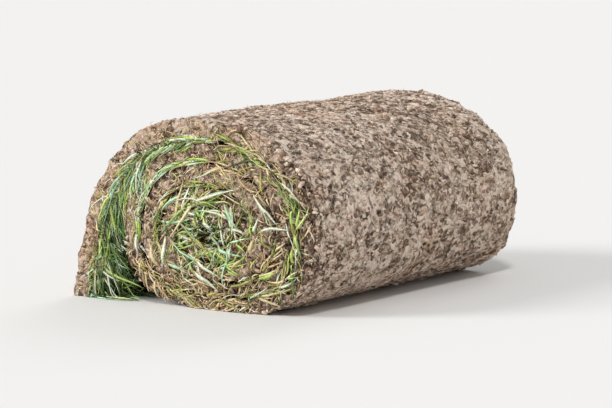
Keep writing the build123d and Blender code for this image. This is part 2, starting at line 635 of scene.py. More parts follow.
class FlakySoil(SharedEffect):
    """Dry soil: flakes of many tones that lie along the roll, and pits painted dark as shade."""

    NAME = "flaky_soil"
    OUTPUTS = {"Tone": "Float", "Pits": "Float", "Height": "Float"}
    STRETCH = (1.0, 0.62, 1.0)
    WARP_SCALE, WARP_REACH = 80.0, 0.012
    LARGE_FLAKES, LARGE_SHARE = 150.0, 0.54
    SMALL_FLAKES, SMALL_SHARE = 370.0, 0.42
    FLECKS = (0.86, 0.88, 0.0, 0.34)
    PIT_DEPTH, DOME_HEIGHT, TONE_HEIGHT = 1.5, 0.7, 0.6
    HOLLOW_SCALE, HOLLOW_EDGE = 175.0, (0.45, 0.29)
    HOLLOW_GROUP_SCALE, HOLLOW_GROUPS = 55.0, (0.485, 0.55)
    CRACK_SCALE, CRACK_EDGE = 120.0, (0.055, 0.012)
    CRACK_GROUP_SCALE, CRACK_GROUPS = 38.0, (0.53, 0.62, 0.0, 0.8)
    PATCH_SCALE, PATCHES = 12.0, (0.38, 0.54, 0.45, 1.0)

    def results(self, graph: Graph, given: bpy.types.NodeOutputs) -> Sockets:
        """Makes the tone of the flakes, the pits and the height of both.

        Args:
            graph: Adds nodes to the group.
            given: The group's inputs, by name.

        Returns:
            What each output puts out.
        """
        place = given["Vector"]
        bent = self._bent(graph, place)
        large = graph.node("TexVoronoi", {"Vector": bent, "Scale": self.LARGE_FLAKES})
        small = graph.node("TexVoronoi", {"Vector": bent, "Scale": self.SMALL_FLAKES})
        fine = graph.math("MULTIPLY", self._any(graph, small), self.SMALL_SHARE)
        tone = graph.math("MULTIPLY_ADD", self._any(graph, large), self.LARGE_SHARE, fine)
        flecks = graph.remap(self._any(graph, small, "Y"), *self.FLECKS)
        tone = graph.math("ADD", tone, flecks)
        pits = self._pits(graph, place, bent)
        domes = graph.math("MULTIPLY", large.outputs["Distance"], -self.DOME_HEIGHT)
        height = graph.math("MULTIPLY_ADD", pits, -self.PIT_DEPTH, domes)
        height = graph.math("MULTIPLY_ADD", tone, self.TONE_HEIGHT, height)
        return {"Tone": tone, "Pits": pits, "Height": height}

    def _bent(self, graph: Graph, place: object) -> bpy.types.NodeSocket:
        """Texture places, bent a little and stretched along the roll.

        Args:
            graph: Adds nodes to the group.
            place: Where the textures are read.

        Returns:
            The new places.
        """
        warp = graph.node("TexNoise", {"Vector": place, "Scale": self.WARP_SCALE, "Detail": 2.0})
        shift = graph.node("VectorMath", {0: warp.outputs["Color"], 1: (0.5, 0.5, 0.5)},
                           operation="SUBTRACT")
        scaled = graph.node("VectorMath", {0: shift.outputs[0], "Scale": self.WARP_REACH},
                            operation="SCALE")
        bent = graph.node("VectorMath", {0: place, 1: scaled.outputs[0]}, operation="ADD")
        return graph.stretch(bent.outputs[0], self.STRETCH, (0.0, 0.0, 0.0))

    def _pits(self, graph: Graph, place: object, bent: object) -> bpy.types.NodeSocket:
        """Small hollows in loose groups, with a few short cracks that join them, for painted
        shade.

        Args:
            graph: Adds nodes to the group.
            place: Where the textures are read.
            bent: The same places, bent and stretched.

        Returns:
            A mask that is 1 in a pit.
        """
        cells = graph.node("TexVoronoi", {"Vector": bent, "Scale": self.HOLLOW_SCALE})
        edges = graph.node("TexVoronoi", {"Vector": bent, "Scale": self.CRACK_SCALE},
                           feature="DISTANCE_TO_EDGE")
        hollow = graph.math(
            "MULTIPLY", graph.remap(cells.outputs["Distance"], *self.HOLLOW_EDGE),
            self._groups(graph, place, self.HOLLOW_GROUP_SCALE, self.HOLLOW_GROUPS))
        crack = graph.math(
            "MULTIPLY", graph.remap(edges.outputs["Distance"], *self.CRACK_EDGE),
            self._groups(graph, place, self.CRACK_GROUP_SCALE, self.CRACK_GROUPS))
        where = self._groups(graph, place, self.PATCH_SCALE, self.PATCHES)
        return graph.math("MULTIPLY", graph.math("MAXIMUM", hollow, crack), where)

    def _groups(self, graph: Graph, place: object, scale: float,
                edge: tuple[float, ...]) -> bpy.types.NodeSocket:
        """Patches of a smooth noise, with the range over which they set in."""
        return graph.remap(graph.speckle(place, scale, 2.0), *edge)

    def _any(self, graph: Graph, cells: bpy.types.Node, axis: str = "X") -> bpy.types.NodeSocket:
        """A random value for each cell of a Voronoi texture."""
        return graph.node("SeparateXYZ", {0: cells.outputs["Color"]}).outputs[axis]


class Mottle(SharedEffect):
    """A colour that wanders between a dark, a middle and a light one."""

    NAME = "mottle"
    INPUTS = {"Value": "Float", "Dark": "Color", "Middle": "Color", "Light": "Color"}
    OUTPUTS = {"Color": "Color"}
    DARK_AT, MIDDLE_AT, LIGHT_AT = 0.26, 0.5, 0.74

    def results(self, graph: Graph, given: bpy.types.NodeOutputs) -> Sockets:
        """Mixes the lower two colours, and then the light one.

        Args:
            graph: Adds nodes to the group.
            given: The group's inputs, by name.

        Returns:
            What each output puts out.
        """
        darker = graph.remap(given["Value"], self.DARK_AT, self.MIDDLE_AT)
        lighter = graph.remap(given["Value"], self.MIDDLE_AT, self.LIGHT_AT)
        lower = graph.mix(darker, given["Dark"], given["Middle"])
        return {"Color": graph.mix(lighter, lower, given["Light"])}


def plain_finish(name: str, roughness: float, specular: float = 0.5) -> bpy.types.Material:
    """Makes a material with nothing set but its gloss.

    Args:
        name: Name of the material.
        roughness: From 0 to 1.
        specular: How much it reflects.

    Returns:
        The new material.
    """
    made = bpy.data.materials.new(name)
    made.use_nodes = True
    inputs = made.node_tree.nodes["Principled BSDF"].inputs
    inputs["Roughness"].default_value = roughness
    inputs["Specular IOR Level"].default_value = specular
    return made


@dataclass(frozen=True)
class SoilFinish:
    """Dry soil held together by matted roots, browner and crumblier where it is cut."""

    side: tuple[Colour, ...] = ((0.110, 0.067, 0.044), (0.452, 0.325, 0.242),
                                (0.885, 0.730, 0.610))
    cut: tuple[Colour, ...] = ((0.100, 0.058, 0.038), (0.405, 0.278, 0.198),
                               (0.740, 0.570, 0.435))
    hair: Colour = (0.780, 0.640, 0.500)
    # Colour of the painted shade in the pits and cracks.
    pit_shade: Colour = (0.030, 0.019, 0.013)
    stain: Colour = (0.780, 0.620, 0.500)
    hair_share: float = 0.28
    stain_share: float = 0.60
    # How deep the painted shade in the pits is, from the felt and over the tone.
    felt_pit_shade: float = 0.6
    pit_shade_share: tuple[float, float] = (1.25, 0.50)
    roughness: float = 0.95
    specular: float = 0.15
    bump_height: float = 0.0016

    PATCH_SCALE, SPECK_SCALE, STAIN_SCALE = 13.0, 260.0, 17.0
    STAIN_EDGE = (0.50, 0.70)
    UNEVEN, RELIEF_SHARE, LIFTED = 0.15, 0.24, 0.01
    FLAKE_HEIGHT, FELT_HEIGHT = 1.2, 0.7

    def material(self) -> bpy.types.Material:
        """Builds the material.

        Returns:
            The new material.
        """
        made = plain_finish("soil_and_roots", self.roughness, self.specular)
        graph = Graph(made.node_tree)
        shader = made.node_tree.nodes["Principled BSDF"]
        place = graph.node("TexCoord").outputs["Object"]
        felt = MattedFelt().placed(graph, {"Vector": place})
        flakes = FlakySoil().placed(graph, {"Vector": place})
        # The relief attribute holds the tone, with painted light and painted shade from the
        # strip.
        relief = graph.node("Attribute", attribute_name="relief").outputs["Fac"]
        cut = graph.node("Attribute", attribute_name="cut").outputs["Fac"]
        value = self._tone(graph, place, relief, flakes["Tone"])
        colour = graph.mix(cut, self._mottle(graph, value, self.side),
                           self._mottle(graph, value, self.cut))
        hairs = graph.math("MULTIPLY", felt["Hairs"], self.hair_share)
        colour = graph.mix(hairs, colour, rgba(self.hair))
        stains = graph.speckle(place, self.STAIN_SCALE)
        stains = graph.remap(stains, *self.STAIN_EDGE, 0.0, self.stain_share)
        colour = graph.mix(stains, colour, rgba(self.stain), "MULTIPLY")
        # Painted shade: the pits and cracks darken towards near black, most where the tone is
        # low.
        pits = graph.math("MAXIMUM", graph.math("MULTIPLY", felt["Pits"], self.felt_pit_shade),
                          flakes["Pits"])
        dark = graph.math("MULTIPLY", pits, graph.remap(relief, -1.0, 1.0, *self.pit_shade_share))
        graph.put(shader.inputs["Base Color"], graph.mix(dark, colour, rgba(self.pit_shade)))
        height = graph.math("MULTIPLY_ADD", flakes["Height"], self.FLAKE_HEIGHT,
                            graph.math("MULTIPLY", felt["Height"], self.FELT_HEIGHT))
        bump = graph.node("Bump", {"Strength": 1.0, "Distance": self.bump_height,
                                   "Height": height})
        graph.put(shader.inputs["Normal"], bump.outputs["Normal"])
        return made

    def _tone(self, graph: Graph, place: object, relief: object,
              flakes: object) -> bpy.types.NodeSocket:
        """How light the soil is, from wide patches, fine specks, flakes and the relief.

        Args:
            graph: Adds nodes to the material.
            place: Where the textures are read.
            relief: Tone from relief, drying, painted light and painted shade, from -1 to 1.
            flakes: Tone of the flakes.

        Returns:
            0 for dark to 1 for light.
        """
        patches = graph.vary(place, self.PATCH_SCALE, self.UNEVEN)
        specks = graph.vary(place, self.SPECK_SCALE, self.UNEVEN, detail=4.0, roughness=0.7)
        total = graph.math("ADD", graph.math("ADD", patches, specks), self.LIFTED)
        total = graph.math("ADD", flakes, total)
        return graph.math("MULTIPLY_ADD", relief, self.RELIEF_SHARE, total)

    def _mottle(self, graph: Graph, value: object,
                colours: tuple[Colour, ...]) -> bpy.types.NodeSocket:
        """One colour of the soil, for how light it is.

        Args:
            graph: Adds nodes to the material.
            value: 0 for dark to 1 for light.
            colours: The dark, the middle and the light colour.

        Returns:
            The colour.
        """
        dark, middle, light = (rgba(colour) for colour in colours)
        inputs = {"Value": value, "Dark": dark, "Middle": middle, "Light": light}
        return Mottle().placed(graph, inputs)["Color"]


@dataclass(frozen=True)
class BladeFinish:
    """Leaves and straw, each in its own tint, with fine streaks."""

    name: str
    roughness: float = 0.34
    specular: float = 0.50
    streaks: float = 0.3
    streak_scale: float = 420.0

    def material(self) -> bpy.types.Material:
        """Builds the material.

        Returns:
            The new material.
        """
        made = plain_finish(self.name, self.roughness, self.specular)
        graph = Graph(made.node_tree)
        place = graph.node("TexCoord").outputs["Object"]
        tint = graph.node("Attribute", attribute_name="tint").outputs["Color"]
        streak = graph.vary(place, self.streak_scale, self.streaks, middle=1.0)
        grey = graph.node("CombineXYZ", {axis: streak for axis in "XYZ"}).outputs["Vector"]
        shader = made.node_tree.nodes["Principled BSDF"]
        graph.put(shader.inputs["Base Color"], graph.mix(1.0, tint, grey, "MULTIPLY"))
        return made


def add_object(name: str, data: bpy.types.ID) -> bpy.types.Object:
    """Adds a mesh, a lamp or a camera to the scene.

    Args:
        name: Name of the object.
        data: What it holds.

    Returns:
        The new object.
    """
    made = bpy.data.objects.new(name, data)
    bpy.context.scene.collection.objects.link(made)
    return made


def flat_grid(name: str, columns: int, across: int, size: float) -> bpy.types.Mesh:
    """A flat square grid with so many faces each way, whose edges are twice the size.

    Args:
        name: Name of the mesh.
        columns: Faces along X.
        across: Faces along Y.
        size: Half the length of an edge.

    Returns:
        The mesh.
    """
    bm = bmesh.new()
    bmesh.ops.create_grid(bm, x_segments=columns, y_segments=across, size=size)
    mesh = bpy.data.meshes.new(name)
    bm.to_mesh(mesh)
    bm.free()
    return mesh


def add_piece(mesh: bpy.types.Mesh, finish: bpy.types.Material) -> bpy.types.Object:
    """Adds a finished mesh to the object, in place of its part of the solid.

    Args:
        mesh: The mesh, with its place in its vertices.
        finish: The material for all of it.

    Returns:
        The new object, which rides on the roll.
    """
    mesh.materials.append(finish)
    piece = add_object(mesh.name, mesh)
    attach(piece, BODY)
    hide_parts(NODE)
    mesh.calc_loop_triangles()
    log.info("%s: %d triangles", mesh.name, len(mesh.loop_triangles))
    return piece


@dataclass(frozen=True)
class DryingAndPaintedLight:
    """How dark or pale the soil looks, from -1 for damp soil and painted shade to 1 for dry
    soil.

    What stands out by its relief is palest. The outer laps have dried most. Painted light makes
    the upper left of each end paler and its lower right darker, and painted shade darkens the
    soil and grass that lie pressed between the laps, near the cut ends.
    """

    cut_relief: float = 0.005
    soil_relief: float = 0.0045
    damp: float = 0.26
    outer_laps: float = 0.8
    outer_turns: tuple[float, float] = (4.1, 5.0)
    # Painted light: the ends grow paler towards the upper left and darker towards the lower
    # right.
    painted_light_aslant: float = 1.7
    painted_light_reach: float = 0.2
    palest_cut: float = 0.65
    # Painted shade on the covered soil face and the grass face, near the cut ends.
    shade_on_covered_soil: float = 1.3
    shade_on_grass_face: float = 1.6
    shade_depth: float = 0.006

    def cut(self, outwards: np.ndarray, turn: np.ndarray, painted_light_aslant: np.ndarray) -> np.ndarray:
        """Tone of the cut ends: drier on the outer laps, and painted light from the upper left.

        Args:
            outwards: How far each place stands out of the cut.
            turn: How many turns the strip has made there.
            painted_light_aslant: How far up and to the left of the eye it lies, in metres.

        Returns:
            The tone of each place.
        """
        dry_and_lit = self.outer_laps * smooth_step(turn, *self.outer_turns) - self.damp
        # Painted light: paler up and to the left of the eye, darker down and to the right.
        dry_and_lit = np.minimum(dry_and_lit + self.painted_light_aslant * (painted_light_aslant / self.painted_light_reach), self.palest_cut)
        return outwards / self.cut_relief + dry_and_lit


@dataclass
class StripLength:
    """One length of the rolled strip: a closed slab with a rough face and torn cut ends.

    The first and last turn say which length it is. Rows are the lines of vertices that run
    along the strip, and columns are those that run round its section.
    """

    name: str
    strip: RolledStrip
    relief: Relief
    first_turn: float
    last_turn: float
    column_step: float
    covered_step: float
    row_step: float
    covered_until: float
    rows_by_cut: tuple[float, ...] = (0.0, 0.0008, 0.0018, 0.003, 0.0046, 0.0066, 0.009,
                                      0.0118, 0.0150)
    rows_in_gap: tuple[float, ...] = (0.0, 0.0015, 0.0035, 0.0065, 0.0100, 0.0135, 0.0170,
                                      0.0300)
    rows_on_cut: int = 9
    grass_row_step: float = 0.055
    look: DryingAndPaintedLight = DryingAndPaintedLight()

    TORN_REACH = 0.016
    CUT_RELIEF_REACH, CUT_LOOK_REACH = 0.006, 0.0035
    SEAM_OPENS = (-0.05, 0.03)
    GAP_CLOSES, GAP_FLOOR, GAP_FILL = (1.0, 0.96), (-0.003, 0.001), 1.05

    def build(self, finish: bpy.types.Material) -> bpy.types.Object:
        """Cuts the length flat, roughens it, rolls it up and dresses it.

        Args:
            finish: The material for all of it.

        Returns:
            The new piece.
        """
        along = self._columns()
        y, share, part = self._section()
        mesh = flat_grid(self.name, len(along) - 1, len(y) - 1, 0.5)
        corners = self._grid_places(mesh, len(along) - 1, len(y) - 1)
        column, row = corners[:, 0], corners[:, 1]
        places, cut, lift = self._rolled(along[column], y[row], share[row], part[row])
        mesh.vertices.foreach_set("co", places.ravel())
        self._mark(mesh, "cut", cut)
        # The relief attribute holds the tone, painted light and painted shade included.
        self._mark(mesh, "relief", lift)
        self._close(mesh)
        return add_piece(mesh, finish)

    def _columns(self) -> np.ndarray:
        """Distances along the strip, closer together where the soil face can be seen.

        Returns:
            The distance of each column from the inner end.
        """
        here = self.strip.distance_at(self.first_turn)
        last = self.strip.distance_at(self.last_turn)
        hidden = self.strip.distance_at(self.covered_until)
        places = [here]
        while here < last:
            here += self.covered_step if here < hidden else self.column_step
            places.append(min(here, last))
        return np.array(places)

    def _across(self, from_cut: tuple[float, ...], step: float) -> np.ndarray:
        """Places across the strip, given by their distance from either cut edge.

        Args:
            from_cut: The places next to a cut.
            step: How far apart the others are.

        Returns:
            The Y of each place, from one cut to the other.
        """
        half = self.strip.coil.half_width
        inner = np.arange(from_cut[-1] + step, half - step / 2, step)
        from_edge = np.concatenate([from_cut, inner])
        return np.concatenate([from_edge - half, [0.0], (half - from_edge)[::-1]])

    def _section(self) -> tuple[np.ndarray, np.ndarray, np.ndarray]:
        """Goes once round the strip's section.

        Returns:
            For each row, its Y, its share of the thickness and the side it belongs to. The
            last row is the first one again.
        """
        half = self.strip.coil.half_width
        soil = self._across(self.rows_by_cut, self.row_step)
        grass = self._across(self.rows_in_gap, self.grass_row_step)[::-1]
        shares = np.linspace(0, 1, self.rows_on_cut + 1)[1:-1]
        ones = np.ones(len(shares))
        y = [soil, half * ones, grass, -half * ones, soil[:1]]
        share = [np.ones(len(soil)), shares[::-1], np.zeros(len(grass)), shares, [1.0]]
        sides = (Part.SOIL, Part.FAR_CUT, Part.GRASS, Part.NEAR_CUT, Part.SOIL)
        part = [np.full(len(run), side.value) for run, side in zip(y, sides)]
        return np.concatenate(y), np.concatenate(share), np.concatenate(part)

    def _grid_places(self, mesh: bpy.types.Mesh, columns: int, across: int) -> np.ndarray:
        """Column and row of each vertex of the flat grid.

        Args:
            mesh: The flat grid.
            columns: Its faces along the strip.
            across: Its faces round the section.

        Returns:
            The column and the row of each vertex.
        """
        flat = np.empty(len(mesh.vertices) * 3)
        mesh.vertices.foreach_get("co", flat)
        shares = flat.reshape(-1, 3)[:, :2] + 0.5
        return np.rint(shares * [columns, across]).astype(int)

    def _rolled(self, along: np.ndarray, y: np.ndarray, share: np.ndarray,
                part: np.ndarray) -> tuple[np.ndarray, np.ndarray, np.ndarray]:
        """Roughens places on the section and rolls them up.

        Args:
            along: Distance of each vertex from the inner end.
            y: Its place across the strip.
            share: Its share of the thickness, from the grass face to the soil face.
            part: The side of the section that it belongs to.

        Returns:
            Its place rolled up, its share of a cut end, and its tone with painted light and
            shade.
        """
        strip, coil, relief, look = self.strip, self.strip.coil, self.relief, self.look
        torn = smooth_step(along, strip.length - self.TORN_REACH, strip.length)
        along = along - relief.tear(y) * torn
        thickness = strip.thickness(along)
        turn = strip.turn_at(along)
        from_edge = coil.half_width - np.abs(y)
        open_face = smooth_step(turn, *(coil.seam_turn + step for step in self.SEAM_OPENS))
        free = relief.covered + (1 - relief.covered) * open_face
        lift = relief.soil(along, y) * free
        height = share * (thickness + lift)
        corner = relief.roundness(along, y)
        below = (1 - share) * thickness
        on_soil = part == Part.SOIL.value
        on_cut = (part == Part.FAR_CUT.value) | (part == Part.NEAR_CUT.value)
        height = height - np.where(on_soil, self._rounding(from_edge, corner), 0.0)
        inset = np.where(on_cut, self._rounding(below, corner), 0.0)
        inset = np.where(on_soil & (from_edge < 1e-9), corner, inset)
        height = self._fill_gap(height, turn, from_edge, part)
        near_cut = np.exp(-from_edge / self.CUT_RELIEF_REACH)
        outwards = self._cut_out(along, height, y) * near_cut - inset
        placed = strip.place(along, y + np.sign(y) * outwards, height)
        placed[:, 2] = np.maximum(placed[:, 2], 0.0)
        cut = np.maximum(on_cut, np.exp(-from_edge / self.CUT_LOOK_REACH))
        # Painted light on the cut ends: paler up and left of the eye, darker down and right.
        painted_light_aslant = placed[:, 2] - coil.eye_height - placed[:, 0]
        tone = np.where(on_cut, look.cut(outwards, turn, painted_light_aslant), lift / look.soil_relief)
        # Painted shade on the covered soil face and the grass face, near the cut ends.
        shade = np.where(on_soil, look.shade_on_covered_soil * (1 - open_face), 0.0)
        shade = np.where(part == Part.GRASS.value, look.shade_on_grass_face, shade)
        tone = tone - shade * smooth_step(from_edge, 0.0, look.shade_depth)
        return placed, cut.astype(float), np.clip(tone, -1, 1)

    def _rounding(self, distance: np.ndarray, radius: np.ndarray) -> np.ndarray:
        """Drop of a rounded corner at a distance from it."""
        inside = np.clip(radius - distance, 0.0, radius)
        return radius - np.sqrt(radius**2 - inside**2)

    def _fill_gap(self, height: np.ndarray, turn: np.ndarray, from_edge: np.ndarray,
                  part: np.ndarray) -> np.ndarray:
        """Lets the grass face meet the lap inside it, deeper than the gap shows.

        Args:
            height: Height of each vertex over the grass face.
            turn: The turn it is on.
            from_edge: Its distance from the nearer cut.
            part: The side of the section that it belongs to.

        Returns:
            The new heights.
        """
        coil = self.strip.coil
        deep = smooth_step(from_edge, *(coil.gap_depth + step for step in self.GAP_FLOOR))
        closed = smooth_step(turn, *(coil.seam_turn + step for step in self.GAP_CLOSES))
        closed = closed * (turn > 1.0)
        filled = -coil.grass_gap * self.GAP_FILL * deep * closed
        return np.where(part == Part.GRASS.value, filled, height)

    def _cut_out(self, along: np.ndarray, height: np.ndarray, y: np.ndarray) -> np.ndarray:
        """How far the nearer cut end stands out.

        Args:
            along: Distance of each vertex from the inner end.
            height: Its height over the grass face.
            y: Its place across the strip.

        Returns:
            The distance for each place, in metres.
        """
        total = np.zeros(len(along))
        for end in End:
            here = np.sign(y) == end.value
            total[here] = self.relief.cut(along[here], height[here], end)
        return total

    def _mark(self, mesh: bpy.types.Mesh, name: str, values: np.ndarray) -> None:
        """Keeps a value for each vertex, for the material to read."""
        mesh.attributes.new(name, "FLOAT", "POINT").data.foreach_set("value", values)

    def _close(self, mesh: bpy.types.Mesh) -> None:
        """Joins the section's first and last row, closes both ends and turns faces out.

        Args:
            mesh: The mesh, once it is rolled up.
        """
        bm = bmesh.new()
        bm.from_mesh(mesh)
        bmesh.ops.remove_doubles(bm, verts=bm.verts, dist=1e-7)
        bmesh.ops.holes_fill(bm, edges=[e for e in bm.edges if e.is_boundary], sides=0)
        bmesh.ops.recalc_face_normals(bm, faces=bm.faces)
        for face in bm.faces:
            face.smooth = True
        bm.to_mesh(mesh)
        bm.free()


@dataclass(frozen=True)
class Tint:
    """A colour that strands are given, and how much it varies from one to the next."""

    colour: Colour
    spread: float = 0.22


DEEP = Tint((0.050, 0.095, 0.026), 0.35)
GREEN = Tint((0.172, 0.299, 0.076), 0.30)
BRIGHT = Tint((0.488, 0.659, 0.159), 0.22)
# Sage green, made paler than a leaf's own colour with painted sheen.
BLUISH_HIGHLIT = Tint((0.500, 0.760, 0.480), 0.25)
# Pale blades, whiter than a leaf under even light: partly pale leaf, partly painted highlight.
PALE_HIGHLIT = Tint((0.840, 0.900, 0.690), 0.12)
OLIVE = Tint((0.448, 0.437, 0.118), 0.25)
STRAW = Tint((0.827, 0.657, 0.371), 0.20)
TAN = Tint((0.605, 0.410, 0.221), 0.28)
BROWN = Tint((0.200, 0.130, 0.085), 0.30)
ROOT = Tint((0.756, 0.648, 0.518), 0.20)
LOAM = Tint((0.583, 0.445, 0.343), 0.28)
CLAY = Tint((0.270, 0.176, 0.120), 0.40)

# Mostly highlit tints: painted highlights on the gap's grass and the lap's upper blades.
LUSH_HIGHLIT = ((GREEN, 0.05), (BRIGHT, 0.31), (BLUISH_HIGHLIT, 0.27), (PALE_HIGHLIT, 0.28), (STRAW, 0.09))
YELLOWED = ((OLIVE, 0.34), (BRIGHT, 0.26), (PALE_HIGHLIT, 0.14), (STRAW, 0.18), (GREEN, 0.08))
FRESH = ((PALE_HIGHLIT, 0.26), (BLUISH_HIGHLIT, 0.20), (BRIGHT, 0.18), (GREEN, 0.12), (OLIVE, 0.10),
         (STRAW, 0.14))
MIXED = ((GREEN, 0.14), (BRIGHT, 0.16), (OLIVE, 0.26), (PALE_HIGHLIT, 0.12), (STRAW, 0.22),
         (DEEP, 0.10))
FADED = ((STRAW, 0.44), (TAN, 0.16), (OLIVE, 0.20), (PALE_HIGHLIT, 0.12), (GREEN, 0.08))
HANGING = ((GREEN, 0.20), (DEEP, 0.24), (BRIGHT, 0.20), (BLUISH_HIGHLIT, 0.18), (PALE_HIGHLIT, 0.12),
           (STRAW, 0.06))
SHADED = ((DEEP, 0.50), (GREEN, 0.22), (BROWN, 0.28))
LITTER = ((STRAW, 0.40), (TAN, 0.22), (BROWN, 0.14), (ROOT, 0.10), (OLIVE, 0.07),
          (PALE_HIGHLIT, 0.07))
HAIRS = ((ROOT, 0.62), (TAN, 0.20), (STRAW, 0.18))
EARTH = ((LOAM, 0.58), (CLAY, 0.35), (ROOT, 0.07))

Palette = tuple[tuple[Tint, float], ...]
Rule = Callable[[np.ndarray, np.ndarray], np.ndarray]
Guide = Callable[[np.ndarray], np.ndarray]

HUE_SPREAD = 0.05
PALEST = 0.9


def draw_tints(palette: Palette, count: int, rng: np.random.Generator) -> np.ndarray:
    """Draws a colour for each of so many strands.

    Args:
        palette: The tints, each with its share.
        count: How many strands there are.
        rng: Source of chance.

    Returns:
        One colour for each strand.
    """
    shares = np.array([share for _, share in palette])
    colours = np.array([tint.colour for tint, _ in palette])
    spreads = np.array([tint.spread for tint, _ in palette])
    pick = rng.choice(len(palette), count, p=shares / shares.sum())
    level = 1 + spreads[pick, None] * rng.uniform(-1, 1, (count, 1))
    hue = 1 + HUE_SPREAD * rng.uniform(-1, 1, (count, 3))
    return np.clip(colours[pick] * level * hue, 0.0, PALEST)


class Ground:
    """The finished soil, which the strands lie on and stay out of."""

    NEARBY = 0.03
    LEAST_HEIGHT = 0.0003

    def __init__(self, pieces: list[bpy.types.Object]) -> None:
        """Takes in the meshes of some pieces.

        Args:
            pieces: The lengths of the strip, as they were built.
        """
        places: list[tuple] = []
        faces: list[list[int]] = []
        for piece in pieces:
            first = len(places)
            places += [tuple(vertex.co) for vertex in piece.data.vertices]
            faces += [[first + i for i in face.vertices] for face in piece.data.polygons]
        self.tree = BVHTree.FromPolygons(places, faces)

    def clear(self, points: np.ndarray, margin: float) -> np.ndarray:
        """Moves points out of the soil and off the floor, by a margin.

        Args:
            points: Rows of X, Y, Z.
            margin: How far to stay off.

        Returns:
            The new points.
        """
        moved = points.copy()
        for row, point in enumerate(points.tolist()):
            found, normal, _, _ = self.tree.find_nearest(point, self.NEARBY)
            if found is not None and (Vector(point) - found).dot(normal) < margin:
                moved[row] = found + normal * margin
        moved[:, 2] = np.maximum(moved[:, 2], margin)
        return moved

    def settle(self, points: np.ndarray, heights: np.ndarray) -> tuple[np.ndarray, np.ndarray]:
        """Sets points at some heights over the nearest soil.

        Args:
            points: Rows of X, Y, Z.
            heights: Height over the soil for each point.

        Returns:
            The new points, and the way the soil faces under each.
        """
        moved, facing = points.copy(), np.zeros_like(points)
        for row, point in enumerate(points.tolist()):
            found, normal, _, _ = self.tree.find_nearest(point)
            moved[row] = found + normal * heights[row]
            facing[row] = normal
        moved[:, 2] = np.maximum(moved[:, 2], self.LEAST_HEIGHT)
        return moved, facing


class EndFace:
    """How far out the soil stands on one end of the roll, over a grid across X and Z."""

    CELL, MARGIN = 0.0016, 0.004
    LOOK_FROM, LOOK_REACH = 0.25, 0.07
    HOLLOW = 0.020
    MOST_OUT = 0.015
    SLIDE = 0.0015
    LEAST_HEIGHT = 0.0007

    def __init__(self, ground: Ground, end: End, coil: Coil) -> None:
        """Looks at the end of the roll from outside, all over.

        Args:
            ground: The finished soil.
            end: Which end of the roll.
            coil: The spiral that the strip follows.
        """
        self.end = end
        self.coil = coil
        self.axis = np.array([0.0, end.value, 0.0])
        self.low = np.array([CAD_BOX[0].x - self.MARGIN, 0.0])
        high = np.array([CAD_BOX[1].x, CAD_BOX[1].z]) + self.MARGIN
        self.shape = np.ceil((high - self.low) / self.CELL).astype(int)
        self.reach = np.full(self.shape, coil.half_width - self.HOLLOW)
        for i, j in np.ndindex(*self.shape):
            x, z = self.low + (np.array([i, j]) + 0.5) * self.CELL
            start = (x, end.value * self.LOOK_FROM, z)
            hit = ground.tree.ray_cast(start, -self.axis, self.LOOK_REACH)[0]
            if hit is not None:
                self.reach[i, j] = abs(hit.y)
        near = [np.roll(self.reach, (i, j), (0, 1)) for i in (-1, 0, 1) for j in (-1, 0, 1)]
        self.bridged = np.max(near, axis=0)
        self.beyond = self._beyond()

    def name(self, kind: str) -> str:
        """Name of the piece of some kind at this end."""
        return f"{kind}_{self.end.name.lower()}"

    def _beyond(self) -> np.ndarray:
        """Cells that lie outside the roll altogether, which the wedge does not.

        Returns:
            A mask over the grid.
        """
        bare = self.reach < self.coil.half_width - self.HOLLOW + MM
        beyond = np.zeros_like(bare)
        beyond[[0, -1], :] = beyond[:, -1] = True
        size = -1
        while size != beyond.sum():
            size = beyond.sum()
            for step in (1, -1):
                for axis in (0, 1):
                    beyond |= np.roll(beyond, step, axis) & bare
        return beyond & bare

    def _cell(self, points: np.ndarray) -> tuple[np.ndarray, np.ndarray]:
        """Cells under some points."""
        cell = ((points[:, [0, 2]] - self.low) / self.CELL).astype(int)
        return tuple(np.clip(cell, 0, self.shape - 1).T)

    def over(self, points: np.ndarray) -> np.ndarray:
        """How far out the soil stands under some points, with its narrow gaps bridged."""
        return self.bridged[self._cell(points)]

    def lie(self, layer: np.ndarray, hug: float, stray: np.ndarray) -> Rule:
        """Rule that keeps points outside the end face and draws them down on to it.

        Args:
            layer: How far over the soil each strand lies.
            hug: Share of a strand's height over its layer that each step takes away.
            stray: Which strands may stick out past the outline of the roll.

        Returns:
            A function from where points were and are to the places they are moved to.
        """
        def rule(before: np.ndarray, points: np.ndarray) -> np.ndarray:
            """Holds points back at the outline, and draws them down to their layer.

            Args:
                before: Where the points were a step ago.
                points: Where they would go.

            Returns:
                Where they may go.
            """
            held = self.beyond[self._cell(points)] & ~stray
            moved = np.where(held[:, None], before - [0.0, 0.0, self.SLIDE], points)
            least = self.over(moved) + layer
            out = least + np.maximum(np.abs(points[:, 1]) - least, 0) * (1 - hug)
            moved[:, 1] = self.end.value * np.minimum(out, self.coil.half_width + self.MOST_OUT)
            moved[:, 2] = np.maximum(moved[:, 2], self.LEAST_HEIGHT)
            return moved

        return rule


